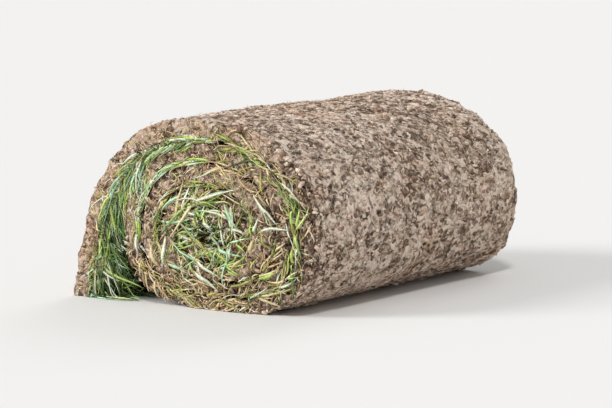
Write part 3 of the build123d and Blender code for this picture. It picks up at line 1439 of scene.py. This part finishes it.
@dataclass(frozen=True)
class Habit:
    """How one kind of strand grows, with lengths and widths in metres.

    At each step a strand bends down by its droop, strays by its wander and goes on curling the
    way it curls. Its keel is how deep it is folded and its widest place is a share of its
    length. Its flat side is turned by chance, and its root has a colour of its own.
    """

    length: tuple[float, float]
    width: tuple[float, float]
    steps: int = 7
    droop: float = 0.06
    wander: float = 0.10
    curl: float = 0.10
    keel: float = 0.3
    widest: float = 0.35
    turned: float = 0.5
    root: Tint = STRAW
    root_tint: float = 0.35

    ROOT_FADE = 2.5

    def grow(self, start: np.ndarray, heading: np.ndarray, rule: Rule,
             rng: np.random.Generator, guide: Guide | None = None) -> np.ndarray:
        """Grows strands step by step.

        Args:
            start: Where each strand starts.
            heading: The way each strand sets out.
            rule: Moves points to where they may be, given where they were.
            rng: Source of chance.
            guide: Gives the way to turn to, after growing so far.

        Returns:
            The points of each strand, from its root to its tip.
        """
        count = len(start)
        length = rng.uniform(*self.length, (count, 1)) / self.steps
        curl = rng.normal(0, self.curl, (count, 3))
        points = [start]
        for step in range(self.steps):
            chance = rng.normal(0, self.wander, (count, 3))
            if guide is not None:
                heading = heading + guide(step * length[:, 0])
            heading = unit(heading + np.cross(curl, heading) + chance + [0, 0, -self.droop])
            reached = rule(points[-1], points[-1] + heading * length)
            moved = reached - points[-1]
            far = np.linalg.norm(moved, axis=1, keepdims=True) > 1e-6
            heading = np.where(far, unit(moved), heading)
            points.append(reached)
        return np.stack(points, 1)

    def shade(self, base: np.ndarray) -> np.ndarray:
        """Colours along strands, which start nearer to the colour of their roots.

        Args:
            base: The colour of each strand.

        Returns:
            A colour for each point of each strand.
        """
        share = np.linspace(0, 1, self.steps + 1)[None, :, None]
        blend = self.root_tint * np.clip(1 - share * self.ROOT_FADE, 0, 1)
        return base[:, None, :] * (1 - blend) + np.array(self.root.colour) * blend

    def dress(self, points: np.ndarray, facing: np.ndarray, tints: Palette | np.ndarray,
              rng: np.random.Generator, broad: float = 1.0) -> "Strands":
        """Gives grown strands their widths and colours, and turns them a little.

        Args:
            points: The points of each strand.
            facing: The way their flat sides face.
            tints: The palette that their colours are drawn from, or the colours.
            rng: Source of chance.
            broad: How much wider they are than others of their kind.

        Returns:
            The strands, ready for their mesh.
        """
        count = len(points)
        if self.turned:
            facing = unit(facing + rng.normal(0, self.turned, (count, 3)))
        width = rng.uniform(*self.width, count) * broad
        if isinstance(tints, tuple):
            tints = draw_tints(tints, count, rng)
        return Strands(points, facing, width, self.shade(tints))


@dataclass(frozen=True)
class Strands:
    """Grown strands: their points, the way their flat side faces, and their looks."""

    points: np.ndarray
    facing: np.ndarray
    width: np.ndarray
    tint: np.ndarray

    ROOT_WIDTH, TAPER, LEAST_HEIGHT = 0.55, 0.7, 0.0001

    @staticmethod
    def joined(parts: list["Strands"]) -> "Strands":
        """All the strands of several lots that have as many points each."""
        names = ("points", "facing", "width", "tint")
        return Strands(*(np.concatenate([getattr(part, n) for part in parts]) for n in names))

    def mesh(self, name: str, habit: Habit) -> bpy.types.Mesh:
        """Makes one joined mesh of keeled blades that narrow to a tip.

        Args:
            name: Name of the mesh.
            habit: Gives the shape of the blades.

        Returns:
            The mesh, with a colour for each vertex.
        """
        count, size, _ = self.points.shape
        share = np.linspace(0, 1, size)[None, :, None]
        widen = np.clip(share / habit.widest, 0, 1)
        widen = self.ROOT_WIDTH + (1 - self.ROOT_WIDTH) * widen
        taper = np.clip((1 - share) / (1 - habit.widest), 0, 1) ** self.TAPER
        half = self.width[:, None, None] / 2 * widen * taper
        ahead = unit(np.gradient(self.points, axis=1))
        side = unit(np.cross(ahead, self.facing[:, None, :]))
        facing = np.cross(side, ahead)
        keel = self.points - facing * half * 2 * habit.keel
        rings = np.stack([self.points + side * half, self.points - side * half, keel], 2)
        places = np.concatenate(
            [rings[:, :-1].reshape(count, -1, 3), self.points[:, -1:]], axis=1)
        places[..., 2] = np.maximum(places[..., 2], self.LEAST_HEIGHT)
        tint = np.repeat(self.tint[:, :-1], 3, axis=1)
        tint = np.concatenate([tint, self.tint[:, -1:]], axis=1)
        return joined_mesh(name, places, tint, self._faces(size - 1))

    def _faces(self, rings: int) -> list[tuple[int, ...]]:
        """Faces of one blade with so many rings of three vertices, and a tip.

        Args:
            rings: How many rings there are.

        Returns:
            The faces, by the numbers of their vertices.
        """
        faces: list[tuple[int, ...]] = [(0, 1, 2)]
        for j in range(3):
            after = (j + 1) % 3
            for ring in range(rings - 1):
                here = 3 * ring
                faces.append((here + j, here + 3 + j, here + 3 + after, here + after))
            faces.append((3 * rings - 3 + j, 3 * rings, 3 * rings - 3 + after))
        return faces


def joined_mesh(name: str, places: np.ndarray, tint: np.ndarray,
                faces: list[tuple[int, ...]]) -> bpy.types.Mesh:
    """Joins many small forms with the same faces into one mesh.

    Args:
        name: Name of the mesh.
        places: The places of each form's vertices.
        tint: The colour at each of them.
        faces: The faces of one form, by the numbers of its vertices.

    Returns:
        The mesh, with its colours in the attribute "tint".
    """
    count, size, _ = places.shape
    one = np.concatenate([np.array(face) for face in faces])
    corners = (one[None, :] + np.arange(count)[:, None] * size).ravel()
    sizes = np.tile([len(face) for face in faces], count)
    mesh = bpy.data.meshes.new(name)
    mesh.vertices.add(count * size)
    mesh.vertices.foreach_set("co", places.ravel())
    mesh.loops.add(len(corners))
    mesh.loops.foreach_set("vertex_index", corners.astype(np.int32))
    mesh.polygons.add(len(sizes))
    mesh.polygons.foreach_set("loop_start", np.concatenate([[0], np.cumsum(sizes)[:-1]]))
    mesh.polygons.foreach_set("use_smooth", np.ones(len(sizes), bool))
    mesh.update(calc_edges=True)
    colours = np.concatenate([tint.reshape(-1, 3), np.ones((count * size, 1))], axis=1)
    attribute = mesh.attributes.new("tint", "FLOAT_COLOR", "POINT")
    attribute.data.foreach_set("color", colours.ravel())
    return mesh


@dataclass(frozen=True)
class Patch:
    """Grass along one stretch of the gap, from one turn to another.

    Where it is combed by 1 or so, its blades all follow the strip onwards. At 0 they lie every
    way. Each roots between the mouth of the gap and its deepest place, in metres.
    """

    first_turn: float
    last_turn: float
    count: int
    palette: Palette
    length: tuple[float, float]
    combed: float
    deepest: float = 0.012
    broad: float = 1.0


@dataclass
class EndGrass:
    """Blades that stick out of the gap at one end and lie over the cut laps."""

    strip: RolledStrip
    face: EndFace
    seed: int
    habit: Habit = Habit((0.02, 0.05), (0.0014, 0.0033))
    patches: tuple[Patch, ...] = (
        Patch(0.74, 1.25, 90, SHADED, (0.010, 0.026), 0.0, 0.100),
        Patch(0.80, 1.72, 56, FRESH, (0.010, 0.028), 0.0, 0.060),
        Patch(1.02, 2.30, 92, FRESH, (0.020, 0.048), 0.10, broad=1.2),
        Patch(2.30, 2.95, 60, MIXED, (0.014, 0.034), 0.30),
        Patch(2.95, 3.28, 60, YELLOWED, (0.012, 0.026), 1.00),
        Patch(3.28, 4.00, 90, FADED, (0.012, 0.032), 0.30),
        Patch(4.00, 4.26, 100, LUSH_HIGHLIT, (0.014, 0.028), 1.00),
        Patch(4.26, 4.64, 80, FADED, (0.012, 0.030), 0.30),
        Patch(4.64, 4.96, 120, MIXED, (0.012, 0.034), 0.45),
        Patch(4.99, 5.24, 230, LUSH_HIGHLIT, (0.018, 0.038), 1.05, broad=1.2),
        Patch(5.24, 5.46, 40, LUSH_HIGHLIT, (0.024, 0.046), 1.05, broad=1.2),
        Patch(5.46, 6.12, 50, FADED, (0.010, 0.026), 0.50),
    )

    SUNK, CLEAR, DEEPEST_BEND, BEND = 0.003, 0.0015, 0.014, 0.004
    INWARDS, ASTRAY, MOST_OUTWARDS = -0.12, 1.15, 0.4
    LOWEST_LAYER, LAYERS = 0.0006, 0.0042
    HUG, STRAYS = 0.45, 0.06
    CALMED, GUIDED = 0.6, 0.8

    def build(self, finish: bpy.types.Material) -> bpy.types.Object:
        """Grows every patch and joins them in one piece.

        Args:
            finish: The material for all of it.

        Returns:
            The new piece.
        """
        rng = np.random.default_rng(self.seed)
        lots = [self._patch(patch, rng) for patch in self.patches]
        mesh = Strands.joined(lots).mesh(self.face.name("end_grass"), self.habit)
        return add_piece(mesh, finish)

    def _patch(self, patch: Patch, rng: np.random.Generator) -> Strands:
        """Grows one patch.

        Args:
            patch: The stretch of the gap.
            rng: Source of chance.

        Returns:
            Its blades.
        """
        axis, strip = self.face.axis, self.strip
        first, last = strip.distance_at(patch.first_turn), strip.distance_at(patch.last_turn)
        along = rng.uniform(first, last, patch.count)
        depth = rng.uniform(MM, patch.deepest, patch.count)
        y = self.face.end.value * (strip.coil.half_width - depth)
        root = strip.place(along, y, -rng.uniform(0.0, self.SUNK, patch.count))
        onward, outward = strip.onward(along), strip.outward(along)
        way = np.where(rng.random(patch.count) < 0.5 + patch.combed / 2, 1.0, -1.0)[:, None]
        aside = rng.normal(self.INWARDS * patch.combed, self.ASTRAY - patch.combed,
                           (patch.count, 1))
        flow = unit(onward * way + outward * aside)
        way_out = np.minimum(depth, self.DEEPEST_BEND)[:, None] + self.CLEAR
        mouth = root + axis * way_out + flow * self.BEND
        layer = self.LOWEST_LAYER + self.LAYERS * rng.random(patch.count) ** 2
        calm = 1 - self.CALMED * patch.combed
        habit = replace(self.habit, length=patch.length, steps=self.habit.steps - 1,
                        wander=self.habit.wander * calm, curl=self.habit.curl * calm)
        heading = unit(flow + axis * rng.uniform(0.0, self.MOST_OUTWARDS, (patch.count, 1)))
        rule = self.face.lie(layer, self.HUG, rng.random(patch.count) < self.STRAYS)

        def guide(grown: np.ndarray) -> np.ndarray:
            """The way the strip runs on, where each blade has got to."""
            return strip.onward(along + grown * way[:, 0]) * way * patch.combed * self.GUIDED

        grown = habit.grow(mouth, heading, rule, rng, guide)
        points = np.concatenate([root[:, None], grown], axis=1)
        return self.habit.dress(points, axis, patch.palette, rng, patch.broad)


@dataclass
class LooseBlades:
    """Single long blades lying over one end, each set out one by one.

    Each blade is its tint and its X and Z in millimetres, from root to tip.
    """

    face: EndFace
    half_turn: bool = False
    seed: int = 61
    habit: Habit = Habit((0.0, 0.0), (0.0032, 0.0048), steps=7, keel=0.35, widest=0.45,
                         turned=0.35, root_tint=0.4)
    blades: tuple[tuple, ...] = (
        (PALE_HIGHLIT, (-23, 56), (-3, 46), (23, 33)),
        (PALE_HIGHLIT, (-15, 40), (0, 32), (16, 20)),
        (BLUISH_HIGHLIT, (-1, 76), (14, 64), (26, 59), (47, 58)),
        (BLUISH_HIGHLIT, (-59, 87), (-37, 87), (-13, 95)),
        (PALE_HIGHLIT, (-23, 109), (-3, 115), (16, 122), (45, 128)),
        (BLUISH_HIGHLIT, (21, 111), (28, 100), (40, 83)),
        (PALE_HIGHLIT, (69, 85), (82, 91), (106, 90)),
        (STRAW, (98, 54), (96, 34), (72, 35)),
        (BLUISH_HIGHLIT, (-49, 44), (-23, 39)),
        (PALE_HIGHLIT, (-32, 32), (-10, 23)),
        (PALE_HIGHLIT, (-51, 72), (-51, 52), (-56, 36)),
        (BRIGHT, (-37, 70), (-27, 59)),
        (STRAW, (62, 77), (60, 62)),
        (BLUISH_HIGHLIT, (-43, 66), (-30, 56), (-14, 50), (2, 44)),
        (PALE_HIGHLIT, (22, 84), (38, 86), (50, 80)),
        (BRIGHT, (34, 70), (46, 66), (50, 60)),
        (PALE_HIGHLIT, (-8, 92), (4, 86), (12, 78)),
        (BRIGHT, (88, 48), (80, 40), (62, 36)),
        (OLIVE, (30, 26), (48, 30), (66, 40)),
        (PALE_HIGHLIT, (62, 122), (78, 108), (92, 92)),
        (STRAW, (-70, 62), (-66, 48), (-58, 38)),
        (BLUISH_HIGHLIT, (-28, 118), (-46, 108), (-60, 96)),
        (BRIGHT, (-18, 86), (0, 81), (17, 73)),
        (PALE_HIGHLIT, (9, 95), (3, 80), (-7, 66)),
        (STRAW, (-12, 71), (5, 75), (22, 85)),
        (PALE_HIGHLIT, (-6, 62), (10, 70), (24, 72)),
    )

    CLEAR, ARCH, ARCHED = 0.0012, 0.004, (0.15, 2.9)

    def build(self, finish: bpy.types.Material) -> bpy.types.Object:
        """Lays every blade over the end.

        Args:
            finish: The material for all of it.

        Returns:
            The new piece.
        """
        rng = np.random.default_rng(self.seed)
        size = self.habit.steps + 1
        points = np.array([self._line(blade[1:], size) for blade in self.blades])
        if self.half_turn:
            points[..., 0] *= -1
            points[..., 2] = 2 * self.face.coil.eye_height - points[..., 2]
        count = len(points)
        over = self.face.over(points.reshape(-1, 3)).reshape(count, size)
        arch = np.sin(np.linspace(*self.ARCHED, size)) * self.ARCH
        out = np.maximum(over, over.mean(axis=1, keepdims=True)) + self.CLEAR + arch
        points[..., 1] = self.face.end.value * out
        tints = np.array([blade[0].colour for blade in self.blades])
        strands = self.habit.dress(points, self.face.axis, tints, rng)
        return add_piece(strands.mesh(self.face.name("loose_blades"), self.habit), finish)

    def _line(self, marks: tuple[tuple[float, float], ...], size: int) -> np.ndarray:
        """Points evenly along one blade, rounded where its marks turn.

        Args:
            marks: X and Z of each mark, in millimetres.
            size: How many points to give.

        Returns:
            Rows of X, Y and Z.
        """
        line = np.array(marks, float) * MM
        steps = np.linalg.norm(np.diff(line, axis=0), axis=1)
        ways = np.concatenate([[0.0], np.cumsum(steps)])
        even = np.linspace(0, ways[-1], size)
        flat = np.stack([np.interp(even, ways, line[:, i]) for i in (0, 1)], 1)
        flat[1:-1] = (flat[:-2] + 2 * flat[1:-1] + flat[2:]) / 4
        return rows(flat[:, 0], 0.0, flat[:, 1])


@dataclass
class Thatch:
    """Short dead straw and roots that fray from the gap and the cut laps at one end."""

    strip: RolledStrip
    face: EndFace
    seed: int
    count: int = 1700
    habit: Habit = Habit((0.005, 0.020), (0.0007, 0.0020), steps=4, droop=0.04, wander=0.25,
                         curl=0.25, root=BROWN, root_tint=0.3)

    INNER_MARGIN, OUTER_MARGIN = 2 * MM, 4 * MM
    HEIGHTS, TOP, SUNK, OUTWARDS = (0.7, 1.6), 0.97, 0.0012, 0.5
    LOWEST_LAYER, LAYERS = 0.0003, 0.0022
    HUG, STRAYS = 0.5, 0.25

    def build(self, finish: bpy.types.Material) -> bpy.types.Object:
        """Grows the straw in one piece.

        Args:
            finish: The material for all of it.

        Returns:
            The new piece.
        """
        rng = np.random.default_rng(self.seed)
        strip, axis, count = self.strip, self.face.axis, self.count
        along = rng.uniform(self.INNER_MARGIN, strip.length - self.OUTER_MARGIN, count)
        share = rng.beta(*self.HEIGHTS, count)
        height = share * strip.thickness(along) * self.TOP
        root = strip.place(along, 0.0, height)
        root[:, 1] = self.face.end.value * (self.face.over(root) - self.SUNK)
        heading = unit(rng.normal(0, 1, (count, 3)) + axis * self.OUTWARDS)
        layer = self.LOWEST_LAYER + self.LAYERS * rng.random(count) ** 2
        rule = self.face.lie(layer, self.HUG, rng.random(count) < self.STRAYS)
        points = self.habit.grow(root, heading, rule, rng)
        points[:, 0] = root
        strands = self.habit.dress(points, axis, LITTER, rng)
        return add_piece(strands.mesh(self.face.name("thatch"), self.habit), finish)


@dataclass
class LapGrass:
    """The lawn on the inner side of the loose lap, hanging down in the wedge behind it."""

    strip: RolledStrip
    ground: Ground
    seed: int = 71
    count: int = 2600
    stiff_count: int = 860
    # Share of the lap from the top whose blades are painted lighter, and lean less.
    lit_upper_share: float = 0.36
    habit: Habit = Habit((0.035, 0.085), (0.0016, 0.0040), steps=8, droop=0.20, curl=0.09,
                         turned=0.6, root_tint=0.5)
    stiff: Habit = Habit((0.024, 0.066), (0.0014, 0.0034), steps=8, curl=0.12, turned=0.6,
                         root_tint=0.5)

    FIRST_TURN, FIRST_STIFF_TURN = 5.10, 5.50
    HEM, STIFF_HEM = 6 * MM, 8 * MM
    NEAR_SHARE, SCATTERED, EDGE_DEPTH, EDGE_PULL = 0.58, 0.20, 0.030, 0.02
    LEAN, LEAST_LEAN, STIFF_LEAN = (0.05, 0.35), 0.3, (0.9, 2.8)
    FOOT_POWER, FOOT_LEAN, FOOT_SPREAD = 2.2, 1.7, (0.7, 1.5)
    STIFF_EDGE, STIFF_SPREAD = 0.99, (0.7, 1.2)
    ASIDE, STIFF_ASIDE, ASTRAY = (-0.2, 0.3), 0.15, 0.10
    ROOT_HEIGHT, MARGIN, HEEL_MARGIN = 0.0006, 0.0008, 0.002
    PAST_THE_CUT = (-0.007, 0.003)

    def build(self, finish: bpy.types.Material) -> bpy.types.Object:
        """Grows the hanging blades and the stiffer ones that reach over to the coil.

        Args:
            finish: The material for all of it.

        Returns:
            The new piece.
        """
        rng = np.random.default_rng(self.seed)
        lots = [self._hanging(rng), self._reaching(rng)]
        return add_piece(Strands.joined(lots).mesh("lap_grass", self.habit), finish)

    def _hanging(self, rng: np.random.Generator) -> Strands:
        """Long blades, thickest towards both ends, where they can be seen.

        Args:
            rng: Source of chance.

        Returns:
            The blades.
        """
        count, half = self.count, self.strip.coil.half_width
        first = self.strip.distance_at(self.FIRST_TURN)
        along = first + (self.strip.length - self.HEM - first) * rng.random(count)
        sign = np.where(rng.random(count) < self.NEAR_SHARE, -1.0, 1.0)
        depth = np.minimum(rng.exponential(self.EDGE_DEPTH, count), half)
        scattered = rng.random(count) < self.SCATTERED
        depth = np.where(scattered, rng.uniform(0.0, half, count), depth)
        near = np.exp(-depth / self.EDGE_PULL)[:, None]
        lower = ((along - first) / (self.strip.length - first))[:, None]
        leaning = np.clip(lower / self.lit_upper_share, self.LEAST_LEAN, 1.0)
        lean = rng.uniform(*self.LEAN, (count, 1)) * leaning
        at_foot = lower ** self.FOOT_POWER * self.FOOT_LEAN
        lean += at_foot * rng.beta(*self.FOOT_SPREAD, (count, 1))
        aside = rows(0.0, sign, 0.0) * near * rng.uniform(*self.ASIDE, (count, 1))
        # Painted light: upper blades draw the lighter, highlit tints and lower ones darker
        # tints.
        base = np.where(lower < self.lit_upper_share, draw_tints(LUSH_HIGHLIT, count, rng),
                        draw_tints(HANGING, count, rng))
        return self._lot(self.habit, along, sign * (half - depth - MM), lean, aside, base, rng)

    def _reaching(self, rng: np.random.Generator) -> Strands:
        """Shorter blades all along the foot, which stand off the lap towards the coil.

        Args:
            rng: Source of chance.

        Returns:
            The blades.
        """
        count, half = self.stiff_count, self.strip.coil.half_width
        first = self.strip.distance_at(self.FIRST_STIFF_TURN)
        along = rng.uniform(first, self.strip.length - self.STIFF_HEM, count)
        sign = np.sign(rng.uniform(-1, 1, count))
        y = sign * (self.STIFF_EDGE - rng.beta(*self.STIFF_SPREAD, count)) * half
        lean = rng.uniform(*self.STIFF_LEAN, (count, 1))
        aside = rng.normal(0, self.STIFF_ASIDE, (count, 3))
        return self._lot(self.stiff, along, y, lean, aside, draw_tints(HANGING, count, rng), rng)

    def _lot(self, habit: Habit, along: np.ndarray, y: np.ndarray, lean: np.ndarray,
             aside: np.ndarray, base: np.ndarray, rng: np.random.Generator) -> Strands:
        """Grows one lot of blades.

        Args:
            habit: How they grow.
            along: Distance of each root from the inner end of the strip.
            y: Its place across the strip.
            lean: How far each blade leans off the lap.
            aside: Which way it leans besides.
            base: Its colour.
            rng: Source of chance.

        Returns:
            The blades.
        """
        count, half = len(along), self.strip.coil.half_width
        root = self.strip.place(along, y, np.full(count, self.ROOT_HEIGHT))
        onward, inward = self.strip.onward(along), -self.strip.outward(along)
        astray = rng.normal(0, self.ASTRAY, (count, 3))
        heading = unit(onward + inward * lean + aside + astray)
        most = half + rng.uniform(*self.PAST_THE_CUT, count)
        heel = self.strip.grass[-1, 0] + self.HEEL_MARGIN

        def rule(_: np.ndarray, points: np.ndarray) -> np.ndarray:
            """Keeps points off the soil, clear of the heel and near the roll's length.

            Args:
                points: Where the points would go.

            Returns:
                Where they may go.
            """
            moved = self.ground.clear(points, self.MARGIN)
            moved[:, 0] = np.maximum(moved[:, 0], heel)
            moved[:, 1] = np.clip(moved[:, 1], -most, most)
            return moved

        points = habit.grow(root, heading, rule, rng)
        return habit.dress(points, inward + rows(0.0, np.sign(y), 0.0), base, rng)


@dataclass
class RootHairs:
    """Fine roots that lie on the soil side of the strip, some with a loose end."""

    strip: RolledStrip
    ground: Ground
    seed: int = 83
    count: int = 2600
    habit: Habit = Habit((0.007, 0.026), (0.0004, 0.0009), steps=4, droop=0.0, wander=0.35,
                         curl=0.2, turned=0.0, root=BROWN, root_tint=0.2)

    FOOT_MARGIN, CUT_MARGIN = 3 * MM, 2 * MM
    HEIGHTS, LOOSE_ENDS = (0.0001, 0.0009), (0.001, 0.004)
    LIFTED_POINTS = ((-1, 1.0), (-2, 0.4))
    LOOSE_SHARE, LEAST_HEIGHT = 0.3, 0.0005

    def build(self, finish: bpy.types.Material) -> bpy.types.Object:
        """Lays the roots over the soil in one piece.

        Args:
            finish: The material for all of it.

        Returns:
            The new piece.
        """
        rng = np.random.default_rng(self.seed)
        strip, count = self.strip, self.count
        first = strip.distance_at(strip.coil.seam_turn)
        along = rng.uniform(first, strip.length - self.FOOT_MARGIN, count)
        y = rng.uniform(-1, 1, count) * (strip.coil.half_width - self.CUT_MARGIN)
        root = strip.place(along, y, strip.thickness(along) + MM)
        height = rng.uniform(*self.HEIGHTS, count)
        root, facing = self.ground.settle(root, height)
        heading = rng.normal(0, 1, (count, 3))
        heading = unit(heading - facing * np.sum(heading * facing, axis=1)[:, None])

        def rule(_: np.ndarray, points: np.ndarray) -> np.ndarray:
            """Keeps points at their height over the soil."""
            return self.ground.settle(points, height)[0]

        points = self.habit.grow(root, heading, rule, rng)
        loose = (rng.random(count) < self.LOOSE_SHARE) * rng.uniform(*self.LOOSE_ENDS, count)
        for row, share in self.LIFTED_POINTS:
            points[:, row] += facing * loose[:, None] * share
        points[:, :, 2] = np.maximum(points[:, :, 2], self.LEAST_HEIGHT)
        strands = self.habit.dress(points, facing, HAIRS, rng)
        return add_piece(strands.mesh("root_hairs", self.habit), finish)


@dataclass
class Crumbs:
    """Flakes and crumbs of dry soil that cling to the soil side and to both ends."""

    strip: RolledStrip
    ground: Ground
    seed: int = 97
    count: int = 8200
    size: tuple[float, float] = (0.0009, 0.0032)
    flatness: tuple[float, float, float] = (0.8, 1.5, 0.55)
    uneven: tuple[float, float] = (0.7, 1.3)
    knobbly: tuple[float, float] = (0.75, 1.2)
    end_share: float = 0.2
    turned: float = 0.45

    MARGIN, PAST_THE_CUT = 4 * MM, 2 * MM

    def build(self, finish: bpy.types.Material) -> bpy.types.Object:
        """Sets the crumbs on the soil in one piece.

        Args:
            finish: The material for all of it.

        Returns:
            The new piece.
        """
        rng = np.random.default_rng(self.seed)
        strip, count, half = self.strip, self.count, self.strip.coil.half_width
        on_end = rng.random(count) < self.end_share
        first = np.where(on_end, self.MARGIN, strip.distance_at(strip.coil.seam_turn))
        along = first + (strip.length - self.MARGIN - first) * rng.random(count)
        sign = np.where(rng.random(count) < 0.5, -1.0, 1.0)
        past_the_cut = sign * (half + self.PAST_THE_CUT)
        y = np.where(on_end, past_the_cut, rng.uniform(-half, half, count))
        thickness = strip.thickness(along)
        height = np.where(on_end, rng.random(count) * thickness, thickness + MM)
        middle, facing = self.ground.settle(strip.place(along, y, height), np.zeros(count))
        bm = bmesh.new()
        bmesh.ops.create_icosphere(bm, subdivisions=1, radius=1.0)
        one = np.array([vertex.co for vertex in bm.verts])
        faces = [tuple(vertex.index for vertex in face.verts) for face in bm.faces]
        bm.free()
        across = rng.normal(0, self.turned, (count, 3))
        across += rows(0.0, np.where(on_end, 0.0, 1.0), 0.0)
        first_side = unit(np.cross(facing, across))
        axes = np.stack([first_side, np.cross(facing, first_side), facing], 1)
        scale = self.size[0] + np.diff(self.size) * rng.random((count, 1)) ** 2
        scale = scale * rng.uniform(*self.uneven, (count, 3)) * self.flatness
        form = one[None] * rng.uniform(*self.knobbly, (count, len(one), 1)) * scale[:, None, :]
        places = middle[:, None, :] + np.einsum("nvk,nkc->nvc", form, axes)
        places[..., 2] = np.maximum(places[..., 2], 0.0)
        tint = np.repeat(draw_tints(EARTH, count, rng)[:, None], len(one), axis=1)
        return add_piece(joined_mesh("crumbs", places, tint, faces), finish)


@dataclass(frozen=True)
class Lamp:
    """A soft lamp, with its place in metres and how wide it looks in degrees."""

    name: str
    place: tuple[float, float, float]
    spread: float
    power: float


@dataclass(frozen=True)
class Studio:
    """Pale floor, soft light and the camera, at the photographed angle."""

    azimuth: float = 34.0
    elevation: float = 7.0
    distance: float = 3.6
    field: float = 0.66
    aim: tuple[float, float, float] = (-0.012, 0.0, 0.088)
    lamps: tuple[Lamp, ...] = (
        Lamp("key_light", (2.0, -2.8, 4.4), 8.0, 1.22),
        Lamp("fill_light", (-3.7, -4.0, 3.0), 22.0, 1.86),
        Lamp("back_light", (-0.7, 4.7, 3.6), 30.0, 0.55),
    )
    sky_colour: Colour = (0.97, 0.98, 1.0)
    sky_strength: float = 0.45
    floor_colour: Colour = (0.80, 0.79, 0.77)
    floor_size: float = 20.0
    floor_drop: float = 0.0004

    def build(self) -> None:
        """Makes the floor, the lamps, the world and the camera."""
        self._floor()
        for lamp in self.lamps:
            self._lamp(lamp)
        self._world()
        self._camera()

    def _floor(self) -> None:
        """A wide plain floor."""
        mesh = flat_grid("floor", 1, 1, self.floor_size)
        made = plain_finish("pale_floor", 0.9)
        shader = made.node_tree.nodes["Principled BSDF"]
        shader.inputs["Base Color"].default_value = rgba(self.floor_colour)
        mesh.materials.append(made)
        floor = add_object("floor", mesh)
        floor.location.z = -self.floor_drop

    def _lamp(self, lamp: Lamp) -> None:
        """One lamp, turned towards the roll.

        Args:
            lamp: What it is like.
        """
        data = bpy.data.lights.new(lamp.name, "SUN")
        data.angle = radians(lamp.spread)
        data.energy = lamp.power
        place = Vector(lamp.place)
        self._face(add_object(lamp.name, data), place, Vector(self.aim) - place)

    def _face(self, made: bpy.types.Object, place: Vector, way: Vector) -> None:
        """Puts a lamp or the camera in its place and turns it to face a way.

        Args:
            made: The lamp or the camera.
            place: Where it goes.
            way: Which way it faces.
        """
        made.location = place
        made.rotation_mode = "QUATERNION"
        made.rotation_quaternion = way.to_track_quat("-Z", "Y")

    def _world(self) -> None:
        """Plain light from all round."""
        world = bpy.data.worlds.new("studio")
        world.use_nodes = True
        background = world.node_tree.nodes["Background"]
        background.inputs["Color"].default_value = rgba(self.sky_colour)
        background.inputs["Strength"].default_value = self.sky_strength
        bpy.context.scene.world = world

    def _camera(self) -> None:
        """The camera, as far off as in the photo, with a longer lens."""
        turn, rise = radians(self.azimuth), radians(self.elevation)
        back = Vector((sin(turn) * cos(rise), -cos(turn) * cos(rise), sin(rise)))
        data = bpy.data.cameras.new("camera")
        data.lens = data.sensor_width * self.distance / self.field
        camera = add_object("camera", data)
        self._face(camera, Vector(self.aim) + back * self.distance, -back)
        bpy.context.scene.camera = camera


def main() -> None:
    """Builds the roll and the studio round it."""
    logging.basicConfig(level=logging.INFO, format="%(name)s: %(message)s")
    bpy.context.scene.view_settings.view_transform = "Standard"
    Studio().build()
    coil = Coil()
    strip = RolledStrip(coil)
    log.info("strip %.3f m long", strip.length)
    soil = SoilFinish().material()
    seam = coil.seam_turn
    turns = StripLength("coiled_turns", strip, Relief(), first_turn=coil.inner_end_turn,
                        last_turn=seam - 0.04, column_step=0.0026, covered_step=0.0026,
                        row_step=0.055, covered_until=seam)
    lap = StripLength("outer_lap", strip, Relief(), first_turn=seam - 0.06,
                      last_turn=coil.turns + 1.0, column_step=0.0022, covered_step=0.0050,
                      row_step=0.0022, covered_until=seam + 0.46)
    ground = Ground([turns.build(soil), lap.build(soil)])
    leaf = BladeFinish("grass_leaf").material()
    straw = BladeFinish("dead_straw", roughness=0.75, specular=0.2, streaks=0.35).material()
    root = BladeFinish("root_hair", roughness=0.85, specular=0.15, streaks=0.25).material()
    crumb = BladeFinish("dry_crumb", roughness=0.95, specular=0.1, streaks=0.35).material()
    for seed, end in enumerate(End):
        face = EndFace(ground, end, coil)
        Thatch(strip, face, 40 + seed).build(straw)
        EndGrass(strip, face, 50 + seed).build(leaf)
        LooseBlades(face, end is End.FAR).build(leaf)
    LapGrass(strip, ground).build(leaf)
    RootHairs(strip, ground).build(root)
    Crumbs(strip, ground).build(crumb)


if __name__ == "__main__":
    main()
